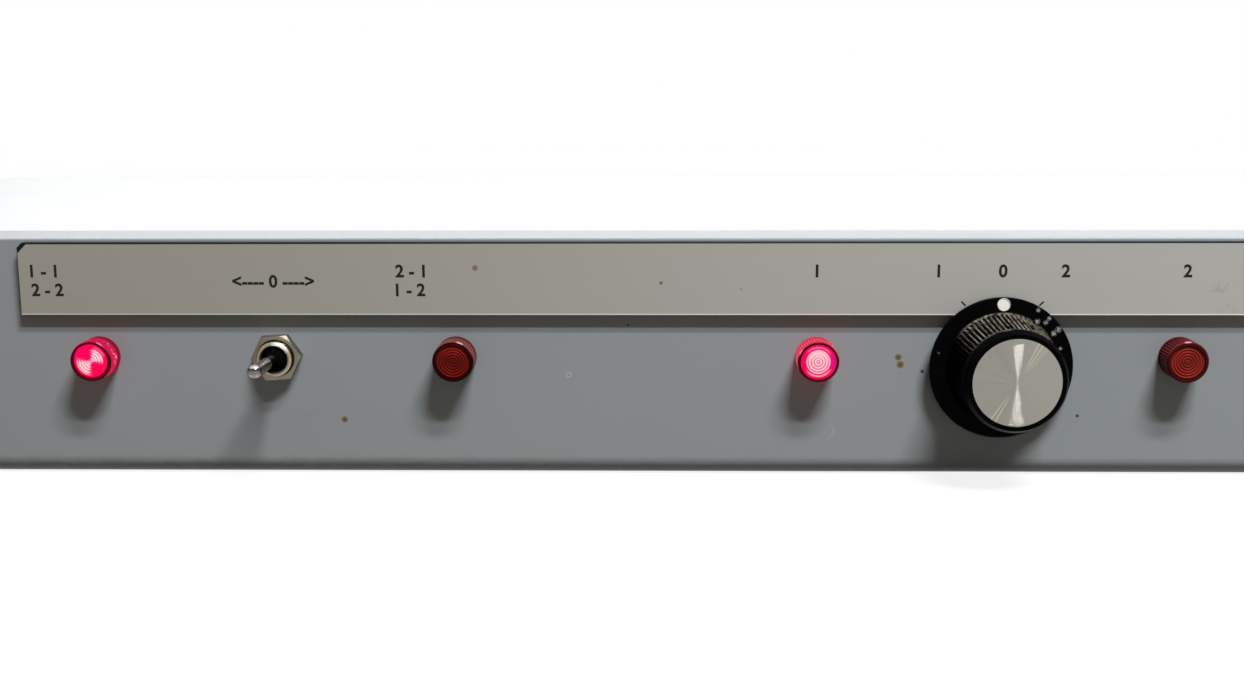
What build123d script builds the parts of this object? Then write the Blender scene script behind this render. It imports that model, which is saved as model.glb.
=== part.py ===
from build123d import *
from math import cos, pi, radians, sin, sqrt
import os

# Rack-mounted audio switcher. Millimetres, +Z up, +X to the right seen from the front, the front faces -Y.
# The origin is the middle of the rack slots, on the back face of the front panel.

# Driving dimensions: general clearances
overrun = 1.0
sheet_gap = 0.3
slip_gap = 0.1
moving_gap = 0.35
running_gap = 0.05
seat_gap = 0.02
lead_gap = 0.12

# Front panel: one rack unit, a channel with a crisp upper edge and a rounded lower one
rack_width = 482.6
rack_height = 43.66
panel_sheet = 1.6
panel_crisp_edge = 0.3
panel_round_edge = 3.2
panel_upper_root = 0.5
panel_flange = 12.0
flange_end_gap = 1.0
relief_width = 1.6
ear_width = 26.3
ear_corner = 0.8
slot_inset = 8.75
slot_pitch_z = 31.75
slot_width = 6.8
slot_length = 10.3
stud_radius = 1.5
stud_length = 6.5
stud_height = 10.0
stud_nut_flats = 5.5
stud_nut_height = 2.4
stud_nut_bevel = 0.3

# Chassis tray and cover
body_depth = 150.0
tray_sheet = 1.2
tray_bend = 0.6
tray_tab = 9.0
tray_tab_height = 30.0
cover_sheet = 1.0
cover_bend = 0.6
cover_drop = 0.4
cover_skirt = 17.0
cover_lip = 4.5
seam_gap = 0.4
cover_screw_radius = 1.5
cover_screw_length = 6.0
cover_head_radius = 2.75
cover_head_height = 1.9
cover_screw_inset = 22.0
cover_screw_drop = 10.0
cover_screws_a_side = 3

# Label strip along the top of the panel
strip_width = 222.4
strip_thickness = 1.6
strip_low = 8.2
strip_high = 21.26
strip_corner = 0.9

# Controls: lamps, toggle switch and knob stand in one row
control_pitch = 32.6
lamp_places = (-3, -1, 1, 3)
toggle_place = -2
knob_place = 2
row_height = 0.3
knob_offset = 0.3
knob_drop = 1.55

# Lamp lens, its clip and its diode
lens_radius = 3.7
lens_projection = 5.35
lens_base = 0.5
lens_rim_depth = 0.7
lens_rim_width = 0.62
lens_rim_bevel = 0.22
lens_flutes = 44
lens_flute_depth = 0.2
lens_rings = 6
lens_ring_height = 0.14
lens_recess = 0.2
lens_wall = 1.7
lens_hole_radius = 3.175
lens_barrel_length = 5.2
led_radius = 2.5
led_flange_radius = 2.9
led_flange = 1.0
led_length = 8.6
led_lead = 0.5
led_lead_pitch = 2.54
clip_radius = 4.6
clip_length = 3.0

# Toggle switch
toggle_projection = 3.5
toggle_bushing_radius = 3.175
toggle_bushing_length = 8.9
toggle_bore_radius = 2.6
toggle_mouth_radius = 2.33
toggle_mouth_lip = 0.9
toggle_mouth_bevel = 0.25
toggle_nut_flats = 8.0
toggle_nut_height = 2.0
toggle_nut_bevel = 0.35
toggle_nut_countersink = 0.25
toggle_nut_turn = 4
toggle_pivot_depth = 2.15
lever_length = 11.6
lever_lean = 3.0
lever_tip_radius = 1.3
lever_neck_radius = 0.95
lever_neck_length = 3.0
lever_tail_radius = 0.9
lever_tail_length = 5.6
toggle_case_width = 12.7
toggle_case_height = 11.4
toggle_case_depth = 8.4
toggle_plate = 0.6
toggle_plate_ear = 5.0
toggle_row_pitch = 4.8
toggle_column_pitch = 4.7

# Toothed washer behind the panel, one for each switch
washer_thickness = 0.8
washer_rim = 2.2
washer_teeth = 10
washer_tooth_width = 0.9
washer_tooth_depth = 0.9

# Rotary switch
rotary_bushing_radius = 4.75
rotary_projection = 5.0
rotary_nut_flats = 12.7
rotary_nut_height = 2.4
rotary_nut_bevel = 0.5
rotary_case_radius = 12.5
rotary_case_depth = 11.8
rotary_plate = 1.2
rotary_case_step = 0.7
rotary_terminals_count = 12
rotary_terminal_circle = 10.0
rotary_common_circle = 4.5
rotary_commons = 3
shaft_radius = 3.175
shaft_reach = 13.2
shaft_root = 8.0
blade_width = 1.0
blade_thickness = 0.6
blade_tail = 1.0

# Knob with skirt
skirt_radius = 12.8
skirt_thickness = 0.95
skirt_bevel = 0.25
skirt_rise = 0.2
knob_root_radius = 9.9
knob_top_radius = 9.0
knob_flute_top = 13.2
knob_flutes = 72
knob_flute_depth = 0.4
knob_height = 16.0
knob_crown_drop = 1.1
knob_crown_inset = 0.55
knob_cavity_radius = 8.3
knob_cavity_top = 7.0
inlay_radius = 7.8
inlay_depth = 0.9
inlay_proud = 0.06
inlay_bevel = 0.14
pointer_radius = 1.2
pointer_circle = 11.5
pointer_depth = 0.5
pointer_proud = 0.12
insert_radius = 5.0
insert_low = 5.8
insert_high = 13.8
grub_radius = 2.0
grub_length = 5.0
grub_height = 9.6
grub_socket_flats = 2.0
grub_socket_depth = 1.6

# Control board behind the panel and the header that joins it to the main board
board_sheet = 1.6
control_board_gap = 16.0
control_board_width = 208.0
control_board_low = -15.8
control_board_high = 14.0
header_pins = 16
header_pitch = 2.54
header_pin = 0.64
header_body = 2.5
header_rise = 3.6

# Main board, standoffs and screws
standoff_height = 5.0
standoff_flats = 5.5
standoff_foot_radius = 2.1
board_side_gap = 8.0
board_rear_gap = 3.0
board_front_gap = 0.8
board_screw_radius = 1.5
board_screw_length = 5.0
board_head_radius = 2.75
board_head_height = 1.8
standoff_columns_share = (-0.96, -0.32, 0.32, 0.96)
standoff_rows_share = (0.1, 0.72)
pin_tail = 1.1

# Parts on the main board
transformer_width = 57.0
transformer_depth = 48.0
transformer_height = 29.0
transformer_lip = 2.0
transformer_lip_width = 1.0
transformer_edge = 1.5
transformer_place_share = (0.54, 0.49)
relay_width = 20.2
relay_depth = 10.2
relay_height = 10.8
relay_edge = 0.6
relay_columns_share = (-0.79, -0.65, -0.42, -0.28)
relay_row_share = 0.61
capacitor_radius = 8.0
capacitor_height = 25.0
capacitor_groove = 0.6
capacitor_groove_height = 3.0
capacitor_places_share = ((0.19, 0.35), (0.28, 0.35), (0.19, 0.48))
regulator_width = 10.2
regulator_height = 9.0
regulator_thickness = 3.2
regulator_tab = 1.3
regulator_tab_height = 15.6
regulator_lead = 0.8
regulator_lead_pitch = 2.54
regulator_stand = 3.4
regulator_hole_radius = 1.9
heatsink_width = 25.0
heatsink_depth = 12.0
heatsink_height = 26.0
heatsink_web = 2.0
heatsink_fins = 6
heatsink_fin_share = 0.3
heatsink_place_share = (0.04, 0.41)
chip_width = 19.3
chip_depth = 6.4
chip_height = 3.3
chip_stand = 0.5
chip_pin_width = 0.5
chip_notch_radius = 1.0
chip_places_share = ((-0.7, 0.28), (-0.55, 0.28), (-0.4, 0.28), (-0.25, 0.28), (-0.55, 0.44), (-0.1, 0.53))

# Audio sockets on the rear wall
input_places_share = (-0.28, -0.44, -0.7, -0.86)
output_places_share = (0.02, 0.18)
socket_flange_width = 26.0
socket_flange_height = 31.0
socket_flange = 2.2
socket_corner = 3.2
socket_screw_x = 9.5
socket_screw_z = 12.0
socket_barrel_radius = 11.7
socket_cut_radius = 12.0
input_bore_radius = 9.65
input_depth = 22.0
input_back = 2.5
input_lip = 0.8
input_lip_radius = 11.4
input_insert_radius = 7.95
input_insert_recess = 0.9
input_insert_tail = 2.0
input_key_width = 2.4
input_key_depth = 0.9
contact_circle = 4.35
contact_angles = (45, 135, 270)
contact_hole_radius = 1.3
contact_recess = 2.4
contact_leg = 0.8
contact_tail = 1.6
output_cup_radius = 8.05
output_depth = 17.0
output_back = 2.5
output_lip = 1.2
output_lip_radius = 10.4
output_insert_radius = 7.45
output_insert_tail = 2.0
output_pin_radius = 1.2
output_pin_recess = 1.0
output_pin_tip = 0.5
output_notch_width = 4.4
output_notch_depth = 1.2
output_notch_near = 4.0
output_notch_far = 7.0

# Release latch of an input socket
latch_width = 6.0
latch_sheet = 1.0
latch_height = 10.45
latch_reach = 6.7
latch_thumb_reach = 7.0
latch_thumb_width = 8.0
latch_thumb_start = 3.4
latch_ridge = 0.8
latch_ridge_depth = 0.9
latch_hook_length = 1.7
latch_hook_drop = 1.05
latch_hook_width = 4.0
latch_pivot = 1.1
latch_pin_radius = 0.5
latch_pin_length = 9.2
latch_boss_radius = 0.8
latch_slot_side = 0.3
latch_slot_high = 11.95
latch_slot_depth = 9.0

# Screws that hold the sockets and the inlet
socket_screw_radius = 1.5
socket_screw_length = 7.0
socket_head_radius = 2.75
socket_head_height = 1.8
screw_hole_radius = 1.65
thread_gap = 0.02

# Remote connector
remote_place_share = 0.39
remote_rise = 6.5
remote_flange_width = 30.8
remote_flange_height = 12.5
remote_flange = 0.8
remote_flange_corner = 1.2
remote_shell_width = 16.4
remote_shell_height = 8.0
remote_shell_slant = 80
remote_shell_corner = 2.0
remote_shell_reach = 4.8
remote_body_width = 19.2
remote_body_height = 10.6
remote_body_depth = 10.0
remote_face_drop = 0.4
remote_wall = 0.5
remote_pins = 5
remote_pin_pitch = 2.77
remote_row_pitch = 2.84
remote_hole_radius = 0.55
remote_contact_face = 2.0
remote_leg = 0.6
jack_pitch = 25.0
jack_flats = 4.8
jack_height = 4.8
jack_bore_radius = 1.2
jack_stem_radius = 1.4
jack_stem_length = 5.0

# Mains inlet with fuse drawer
inlet_place_share = 0.83
inlet_rise = 0.5
inlet_flange_width = 50.0
inlet_flange_height = 30.0
inlet_flange = 2.5
inlet_flange_corner = 5.0
inlet_screw_pitch = 40.0
inlet_body_width = 28.2
inlet_body_height = 27.0
inlet_depth = 31.0
inlet_cavity_width = 24.4
inlet_cavity_height = 16.6
inlet_cavity_corner = 4.4
inlet_cavity_depth = 17.0
inlet_cavity_drop = 4.9
blade_pitch = 7.0
blade_offset = 2.0
mains_blade_width = 2.0
mains_blade_height = 4.0
mains_blade_reach = 15.0
mains_blade_bevel = 0.33
mains_leg = 1.2
mains_tail = 1.6
drawer_width = 22.4
drawer_height = 6.2
drawer_depth = 26.0
drawer_rise = 9.0
drawer_face_width = 24.4
drawer_face_height = 8.4
drawer_face = 1.2
drawer_grip_width = 8.0
drawer_grip_depth = 0.5
drawer_grip_share = 0.25
drawer_trough_length = 20.8
drawer_trough_width = 5.6
drawer_trough_inset = 1.6
drawer_trough_floor = 0.5
fuse_length = 20.0
fuse_radius = 2.6
fuse_glass_radius = 2.35
fuse_cap = 5.4

# Earth stud
earth_place_share = 0.62
earth_z = 0.0
earth_radius = 2.0
earth_reach = 14.0
earth_root = 6.0
earth_bevel = 0.4
earth_relief_start = 4.2
earth_relief_width = 0.6
earth_relief_depth = 0.3
earth_nut_flats = 7.0
earth_nut_height = 3.2
earth_nut_bevel = 0.4
earth_washer_radius = 4.5
earth_washer = 0.8

# Places worked out from the sizes above
half_height = rack_height / 2
panel_back = -panel_sheet
panel_lower_root = panel_round_edge - panel_sheet
half_body = rack_width / 2 - ear_width
slot_x = rack_width / 2 - slot_inset
floor_low = -half_height
floor_top = floor_low + tray_sheet
cover_top = half_height - cover_drop
cover_start = panel_flange + sheet_gap
wall_top = cover_top - cover_sheet - cover_bend
flange_inside = half_height - panel_sheet
tab_stud_x = half_body + tray_tab / 2
knob_x = knob_place * control_pitch + knob_offset
knob_z = row_height - knob_drop
toggle_x = toggle_place * control_pitch
control_front = panel_back - control_board_gap
control_back = control_front - board_sheet
blade_end = control_back - blade_tail
toggle_case_front = toggle_projection - toggle_bushing_length
toggle_case_back = toggle_case_front - toggle_plate - toggle_case_depth
toggle_pivot = toggle_projection - toggle_pivot_depth
rotary_front = panel_back - washer_thickness
rotary_case_back = rotary_front - rotary_plate - rotary_case_depth
skirt_low = strip_thickness + moving_gap
skirt_high = skirt_low + skirt_thickness
board_top = floor_top + standoff_height + board_sheet
board_bottom = board_top - board_sheet
board_front = control_board_gap + board_sheet + board_front_gap
board_rear = body_depth - tray_sheet - board_rear_gap
board_half = half_body - tray_sheet - board_side_gap
wall_inside = -tray_sheet
input_insert_end = -input_depth - input_insert_tail
output_insert_end = -output_depth - output_insert_tail
input_places = [half_body * share for share in input_places_share]
output_places = [half_body * share for share in output_places_share]
remote_x = half_body * remote_place_share
inlet_x = half_body * inlet_place_share
earth_x = half_body * earth_place_share
remote_z = board_top + remote_rise
drawer_opening_width = drawer_width + 2 * sheet_gap
drawer_opening_height = drawer_height + 2 * sheet_gap


def block(x_span, y_span, z_span):
    """Box between its low and high sides along X, Y and Z."""
    spans = (x_span, y_span, z_span)
    middle = [(low + high) / 2 for low, high in spans]
    return Pos(*middle) * Box(*[high - low for low, high in spans])


def rod(radius, low, high, x=0, y=0):
    """Round bar along Z."""
    return Pos(x, y, (low + high) / 2) * Cylinder(radius, high - low)


def ring(outer, inner, low, high):
    """Tube along Z."""
    return rod(outer, low, high) - rod(inner, low - overrun, high + overrun)


def cross_rod(radius, half_length, y, z):
    """Round bar along X, centred on x = 0."""
    return Pos(0, y, z) * Rot(0, 90, 0) * Cylinder(radius, 2 * half_length)


def turned(outline):
    """Solid of revolution about Z from its outline of (radius, height) points."""
    return revolve(Plane.XZ * make_face(Polyline(*outline, close=True)), Axis.Z)


def fluted(count, low_radius, high_radius, depth, low, high):
    """Bar along Z whose side has V-shaped flutes."""
    sections = []
    for radius, height in ((low_radius, low), (high_radius, high)):
        points = []
        for step in range(2 * count):
            reach = radius - depth * (step % 2)
            turn = pi * step / count
            points.append((reach * cos(turn), reach * sin(turn)))
        sections.append(Pos(0, 0, height) * make_face(Polyline(*points, close=True)))
    return loft(sections, ruled=True)


def hexagon(flats, low, high):
    """Plain hexagonal bar along Z."""
    return Pos(0, 0, low) * extrude(RegularPolygon(flats / 2, 6, major_radius=False), high - low)


def nut(flats, low, high, bore, bevel):
    """Hexagon nut whose outer face has a rim bevelled at 30 degrees."""
    corner = flats / sqrt(3)
    edge = corner - bevel * sqrt(3)
    trim = turned(((0, low), (corner, low), (corner, high - bevel), (edge, high), (0, high)))
    return (hexagon(flats, low, high) & trim) - rod(bore, low - overrun, high + overrun)


def headed_screw(radius, length, head_radius, head_height):
    """Screw along Z, its head resting on z = 0."""
    return rod(radius, -length, 0) + rod(head_radius, 0, head_height)


def on_front(x, z):
    """Frame on the panel's front face: X right, Y up, Z towards the viewer."""
    return Plane(origin=(x, -panel_sheet, z), x_dir=(1, 0, 0), z_dir=(0, -1, 0)).location


def on_rear(x, z):
    """Frame on the rear wall's outer face: X left in the row frame, Y up, Z out of the rear."""
    return Plane(origin=(x, body_depth, z), x_dir=(-1, 0, 0), z_dir=(0, 1, 0)).location


def group(shapes):
    """Separate solids that share one node."""
    return Compound(children=[solid for shape in shapes for solid in shape.solids()])


def lamp_frames():
    """Frames of the four lamps, left to right."""
    return [on_front(place * control_pitch, row_height) for place in lamp_places]


# Front panel, chassis tray and cover


def round_front_edges(channel, lower_radius, upper_radius):
    """Channel along X with its two front edges rounded, each by its own radius."""
    for place, radius in ((0, lower_radius), (-1, upper_radius)):
        front_edges = channel.edges().filter_by(Axis.X).group_by(Axis.Y)[0]
        channel = fillet(front_edges.sort_by(Axis.Z)[place], radius)
    return channel


def front_panel():
    """Panel with ears; its middle length is a channel with flanges along its top and bottom."""
    half_width = rack_width / 2
    half_flange = half_body - flange_end_gap
    plate = block((-half_width, half_width), (-panel_sheet, 0), (-half_height, half_height))
    plate = fillet(plate.edges().filter_by(Axis.Y), ear_corner)
    cleared = half_flange + relief_width
    past_edge = half_height + overrun
    upper_span = (flange_inside - panel_upper_root, past_edge)
    lower_span = (-past_edge, panel_round_edge - half_height)
    for span in (upper_span, lower_span):
        plate -= block((-cleared, cleared), (-panel_sheet - overrun, overrun), span)
    outer = block((-half_flange, half_flange), (-panel_sheet, panel_flange), (-half_height, half_height))
    outer = round_front_edges(outer, panel_round_edge, panel_crisp_edge)
    past_flange = half_flange + overrun
    inner = block((-past_flange, past_flange), (0, panel_flange + overrun), (-flange_inside, flange_inside))
    inner = round_front_edges(inner, panel_lower_root, panel_upper_root)
    panel = plate + (outer - inner)
    through = (panel_back - overrun, overrun)
    for frame in lamp_frames():
        panel -= frame * rod(lens_hole_radius, *through)
    panel -= on_front(toggle_x, row_height) * rod(toggle_bushing_radius + slip_gap, *through)
    panel -= on_front(knob_x, knob_z) * rod(rotary_bushing_radius + slip_gap, *through)
    slot = extrude(SlotOverall(slot_length, slot_width), panel_sheet + 2 * overrun)
    for x in (-slot_x, slot_x):
        for z in (-slot_pitch_z / 2, slot_pitch_z / 2):
            panel -= on_front(x, z) * Pos(0, 0, panel_back - overrun) * slot
    for place in stud_frames():
        panel += place * rod(stud_radius, 0, stud_length)
    return panel


def stud_frames():
    """Frames of the panel's weld studs, Z pointing backwards from the panel's back face."""
    return [
        Plane(origin=(x, 0, z), x_dir=(-1, 0, 0), z_dir=(0, 1, 0)).location
        for x in (-tab_stud_x, tab_stud_x)
        for z in (-stud_height, stud_height)
    ]


def panel_nuts():
    """Nuts that clamp the tray's tabs to the panel."""
    high = tray_sheet + stud_nut_height
    one = nut(stud_nut_flats, tray_sheet, high, stud_radius + seat_gap, stud_nut_bevel)
    return group([frame * one for frame in stud_frames()])


def cover_screw_frames():
    """Frames of the cover's side screws on the skirts' outer faces, Z pointing outwards."""
    first = cover_start + cover_screw_inset
    last = body_depth - cover_screw_inset
    step = (last - first) / (cover_screws_a_side - 1)
    outside = half_body + slip_gap + cover_sheet
    z = cover_top - cover_screw_drop
    return [
        Plane(origin=(side * outside, first + step * place, z), z_dir=(side, 0, 0)).location
        for side in (-1, 1)
        for place in range(cover_screws_a_side)
    ]


def folded_box(half_width, start, end, low, high, sheet, bend, folded_side):
    """Open box of folded sheet with no front; its bends are low if folded_side is 0, high if it is -1."""
    outer = block((-half_width, half_width), (start, end), (low, high))
    outer = fillet(outer.edges().group_by(Axis.Z)[folded_side].sort_by(Axis.Y)[1:], bend + sheet)
    hollow_low = low + sheet if folded_side == 0 else low - overrun
    hollow_high = high + overrun if folded_side == 0 else high - sheet
    inside = half_width - sheet
    inner = block((-inside, inside), (start - overrun, end - sheet), (hollow_low, hollow_high))
    inner = fillet(inner.edges().group_by(Axis.Z)[folded_side].sort_by(Axis.Y)[1:], bend)
    folded = outer - inner
    for side in (-1, 1):
        edges = sorted((side * inside, side * (inside - seam_gap)))
        slit_low = low + sheet + bend if folded_side == 0 else low - overrun
        slit_high = high + overrun if folded_side == 0 else high - sheet - bend
        folded -= block(edges, (end - sheet - bend - overrun, end + overrun), (slit_low, slit_high))
    return folded


def chassis_tray():
    """Floor, sides and rear wall folded from one sheet, with tabs that meet the panel."""
    tray = folded_box(half_body, 0, body_depth, floor_low, wall_top, tray_sheet, tray_bend, 0)
    front_zone = (-overrun, cover_start)
    flange_clear = flange_inside - sheet_gap
    for low, high in ((floor_low - overrun, panel_round_edge - half_height), (flange_clear, half_height)):
        tray -= block((-half_body - overrun, half_body + overrun), front_zone, (low, high))
    for side in (-1, 1):
        span = sorted((side * (half_body - tray_sheet), side * (half_body + tray_tab)))
        tray += block(span, (0, tray_sheet), (-tray_tab_height / 2, tray_tab_height / 2))
    for frame in stud_frames():
        tray -= frame * rod(stud_radius + slip_gap, -overrun, tray_sheet + overrun)
    for frame in cover_screw_frames():
        tray -= frame * rod(cover_screw_radius + thread_gap, -cover_screw_length, 0)
    for x, y in standoff_places():
        tray -= rod(standoff_foot_radius + seat_gap, floor_low - overrun, floor_top + overrun, x, y)
    wall = (wall_inside - overrun, overrun)
    for x in input_places + output_places:
        tray -= on_rear(x, 0) * rod(socket_cut_radius, *wall)
    for frame in socket_screw_frames():
        tray -= frame * rod(socket_screw_radius + thread_gap, *wall)
    tray -= on_rear(inlet_x, inlet_rise) * block(
        (-inlet_body_width / 2 - slip_gap, inlet_body_width / 2 + slip_gap),
        (-inlet_body_height / 2 - slip_gap, inlet_body_height / 2 + slip_gap),
        wall,
    )
    shroud = remote_outline(remote_shell_width + 2 * sheet_gap, remote_shell_height + 2 * sheet_gap)
    tray -= on_rear(remote_x, remote_z) * Pos(0, 0, wall[0]) * extrude(shroud, wall[1] - wall[0])
    for x in jack_places():
        tray -= on_rear(remote_x, remote_z) * rod(jack_stem_radius + slip_gap, *wall, x)
    tray -= on_rear(earth_x, earth_z) * rod(earth_radius + slip_gap, *wall)
    return tray


def top_cover():
    """Folded cover whose skirts hang outside the tray's sides and whose lip hooks over the rear wall."""
    half_cover = half_body + slip_gap + cover_sheet
    end = body_depth + slip_gap + cover_sheet
    low = cover_top - cover_skirt
    cover = folded_box(half_cover, cover_start, end, low, cover_top, cover_sheet, cover_bend, -1)
    lip_half = half_cover - cover_sheet
    rear_zone = (body_depth - overrun, end + overrun)
    cover -= block((-lip_half, lip_half), rear_zone, (low - overrun, cover_top - cover_lip))
    for frame in cover_screw_frames():
        cover -= frame * rod(cover_screw_radius + slip_gap, -cover_sheet - overrun, overrun)
    return cover


def cover_screws():
    one = headed_screw(cover_screw_radius, cover_screw_length, cover_head_radius, cover_head_height)
    return group([frame * one for frame in cover_screw_frames()])


# Label strip and lamps


def label_strip():
    """Engraving laminate bonded to the panel; its top corners are cut off."""
    half = strip_width / 2
    strip = block((-half, half), (-panel_sheet - strip_thickness, -panel_sheet), (strip_low, strip_high))
    return chamfer(strip.edges().filter_by(Axis.Y).group_by(Axis.Z)[-1], strip_corner)


def lamp_lens():
    """Lens with fluted side, smooth rim, ringed face and hollow barrel."""
    face_radius = lens_radius - lens_rim_width
    face = lens_projection - lens_recess
    pitch = face_radius / lens_rings
    rings = []
    for step in range(lens_rings):
        rings.append((face_radius - pitch * step, face - lens_ring_height))
        rings.append((face_radius - pitch * (step + 1 / 2), face))
    flute_root = lens_radius - lens_flute_depth
    rim_low = lens_projection - lens_rim_depth
    barrel = lens_hole_radius - slip_gap
    body = turned([
        (0, panel_back - lens_barrel_length), (barrel, panel_back - lens_barrel_length), (barrel, 0),
        (lens_radius, 0), (lens_radius, lens_base), (flute_root, lens_base), (flute_root, rim_low),
        (lens_radius, rim_low), (lens_radius, lens_projection - lens_rim_bevel),
        (lens_radius - lens_rim_bevel, lens_projection), (face_radius, lens_projection),
        *rings, (0, face - lens_ring_height),
    ])
    body += fluted(lens_flutes, lens_radius, lens_radius, lens_flute_depth, lens_base, rim_low)
    hollow_low = panel_back - lens_barrel_length - overrun
    return body - rod(led_radius + slip_gap, hollow_low, lens_projection - lens_wall)


def lamp_led():
    """Domed diode on its flange, with two leads to the control board."""
    seat = panel_back - lens_barrel_length
    dome = seat + led_length - led_flange - led_radius
    led = rod(led_radius, seat, dome) + Pos(0, 0, dome) * Sphere(led_radius)
    led += rod(led_flange_radius, seat - led_flange, seat)
    half = led_lead / 2
    for x in (-led_lead_pitch / 2, led_lead_pitch / 2):
        led += block((x - half, x + half), (-half, half), (blade_end, seat))
    return led


def lamp_clip():
    return ring(clip_radius, lens_hole_radius - slip_gap + seat_gap, panel_back - clip_length, panel_back)


# Toggle switch


def toggle_bushing():
    """Bushing whose mouth keeps the lever's ball in, and the top plate folded over the case."""
    bushing = rod(toggle_bushing_radius, toggle_case_front, toggle_projection)
    half_width = toggle_case_width / 2
    half_height = toggle_case_height / 2
    plate_back = toggle_case_front - toggle_plate
    bushing += block((-half_width, half_width), (-half_height, half_height), (plate_back, toggle_case_front))
    for side in (-1, 1):
        ear = sorted((side * half_height, side * (half_height + toggle_plate)))
        ear_width = half_width / 2
        bushing += block((-ear_width, ear_width), ear, (plate_back - toggle_plate_ear, toggle_case_front))
    bushing -= rod(toggle_bore_radius, plate_back, toggle_projection - toggle_mouth_lip)
    bushing -= rod(toggle_mouth_radius, plate_back, toggle_projection + overrun)
    return chamfer(bushing.edges().group_by(Axis.Z)[-1], toggle_mouth_bevel)


def toggle_case():
    half_width = toggle_case_width / 2
    half_height = toggle_case_height / 2
    depths = (toggle_case_back, toggle_case_front - toggle_plate)
    case = block((-half_width, half_width), (-half_height, half_height), depths)
    return chamfer(case.edges().group_by(Axis.Z)[0], toggle_plate)


def toggle_lever():
    """Bat lever with its ball, and the tail that works the contacts, leaning by its free play."""
    ball = toggle_bore_radius - running_gap
    tip = toggle_pivot + ball + lever_length
    neck = toggle_pivot + lever_neck_length
    lever = Pos(0, 0, toggle_pivot) * Sphere(ball)
    lever += turned((
        (0, toggle_pivot - lever_tail_length), (lever_tail_radius, toggle_pivot - lever_tail_length),
        (lever_tail_radius, toggle_pivot), (lever_neck_radius, toggle_pivot), (lever_neck_radius, neck),
        (lever_tip_radius, tip - lever_tip_radius), (0, tip - lever_tip_radius),
    ))
    lever += Pos(0, 0, tip - lever_tip_radius) * Sphere(lever_tip_radius)
    return Pos(0, 0, toggle_pivot) * Rot(0, -lever_lean, 0) * Pos(0, 0, -toggle_pivot) * lever


def toggle_nuts():
    """Front nut, and the back nut that sets how far the bushing stands out."""
    bore = toggle_bushing_radius + seat_gap
    back = panel_back - washer_thickness
    front_nut = nut(toggle_nut_flats, 0, toggle_nut_height, bore, toggle_nut_bevel)
    mouth = bore + toggle_nut_countersink
    front_nut -= turned(((0, toggle_nut_height), (mouth, toggle_nut_height), (0, toggle_nut_height - mouth)))
    back_nut = nut(toggle_nut_flats, back - toggle_nut_height, back, bore, toggle_nut_bevel)
    return [Rot(0, 0, toggle_nut_turn) * front_nut, back_nut]


def toothed_washer(bore):
    """Washer with inner teeth that bite the switch's bushing thread."""
    outer = bore + slip_gap + washer_tooth_depth + washer_rim
    washer = ring(outer, bore + slip_gap + washer_tooth_depth, panel_back - washer_thickness, panel_back)
    half = washer_tooth_width / 2
    for step in range(washer_teeth):
        tooth = block(
            (bore + slip_gap, bore + slip_gap + washer_tooth_depth + washer_rim / 2), (-half, half),
            (panel_back - washer_thickness, panel_back),
        )
        washer += Rot(0, 0, 360 * step / washer_teeth) * tooth
    return washer


# Rotary switch and knob


def rotary_bushing():
    """Bushing with the round front plate that closes the case."""
    bushing = rod(rotary_bushing_radius, rotary_front, rotary_projection)
    bushing += rod(rotary_case_radius, rotary_front - rotary_plate, rotary_front)
    bore_low = rotary_front - rotary_plate - overrun
    return bushing - rod(shaft_radius + running_gap, bore_low, rotary_projection + overrun)


def rotary_case():
    """Two-deck round case, its rear deck a little smaller."""
    front = rotary_front - rotary_plate
    middle = (front + rotary_case_back) / 2
    case = rod(rotary_case_radius, middle, front)
    case += rod(rotary_case_radius - rotary_case_step, rotary_case_back, middle)
    return case - rod(shaft_radius + running_gap, front - shaft_root - moving_gap, front + overrun)


def rotary_shaft():
    return rod(shaft_radius, rotary_front - rotary_plate - shaft_root, shaft_reach)


def rotary_nut():
    return nut(rotary_nut_flats, 0, rotary_nut_height, rotary_bushing_radius + seat_gap, rotary_nut_bevel)


def terminal(x, y, start):
    """Flat solder blade from a switch's case through the control board."""
    wide = blade_width / 2
    thick = blade_thickness / 2
    return block((x - wide, x + wide), (y - thick, y + thick), (blade_end, start))


def toggle_terminal_places():
    return [
        (column * toggle_column_pitch, row * toggle_row_pitch / 2)
        for row in (-1, 1)
        for column in (-1, 0, 1)
    ]


def rotary_terminal_places():
    """Outer circle of contacts and inner circle of commons."""
    circles = ((rotary_terminals_count, rotary_terminal_circle), (rotary_commons, rotary_common_circle))
    places = []
    for count, circle in circles:
        for step in range(count):
            turn = 2 * pi * (step + 1 / 2) / count
            places.append((circle * cos(turn), circle * sin(turn)))
    return places


def switch_terminals():
    toggle = on_front(toggle_x, row_height)
    rotary = on_front(knob_x, knob_z)
    blades = [toggle * terminal(x, y, toggle_case_back) for x, y in toggle_terminal_places()]
    blades += [rotary * terminal(x, y, rotary_case_back) for x, y in rotary_terminal_places()]
    return group(blades)


def downwards(shape):
    """Turn a shape on the knob's axis so that its Z points down at the grub screw's height."""
    return Pos(0, 0, grub_height) * Rot(90, 0, 0) * shape


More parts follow.
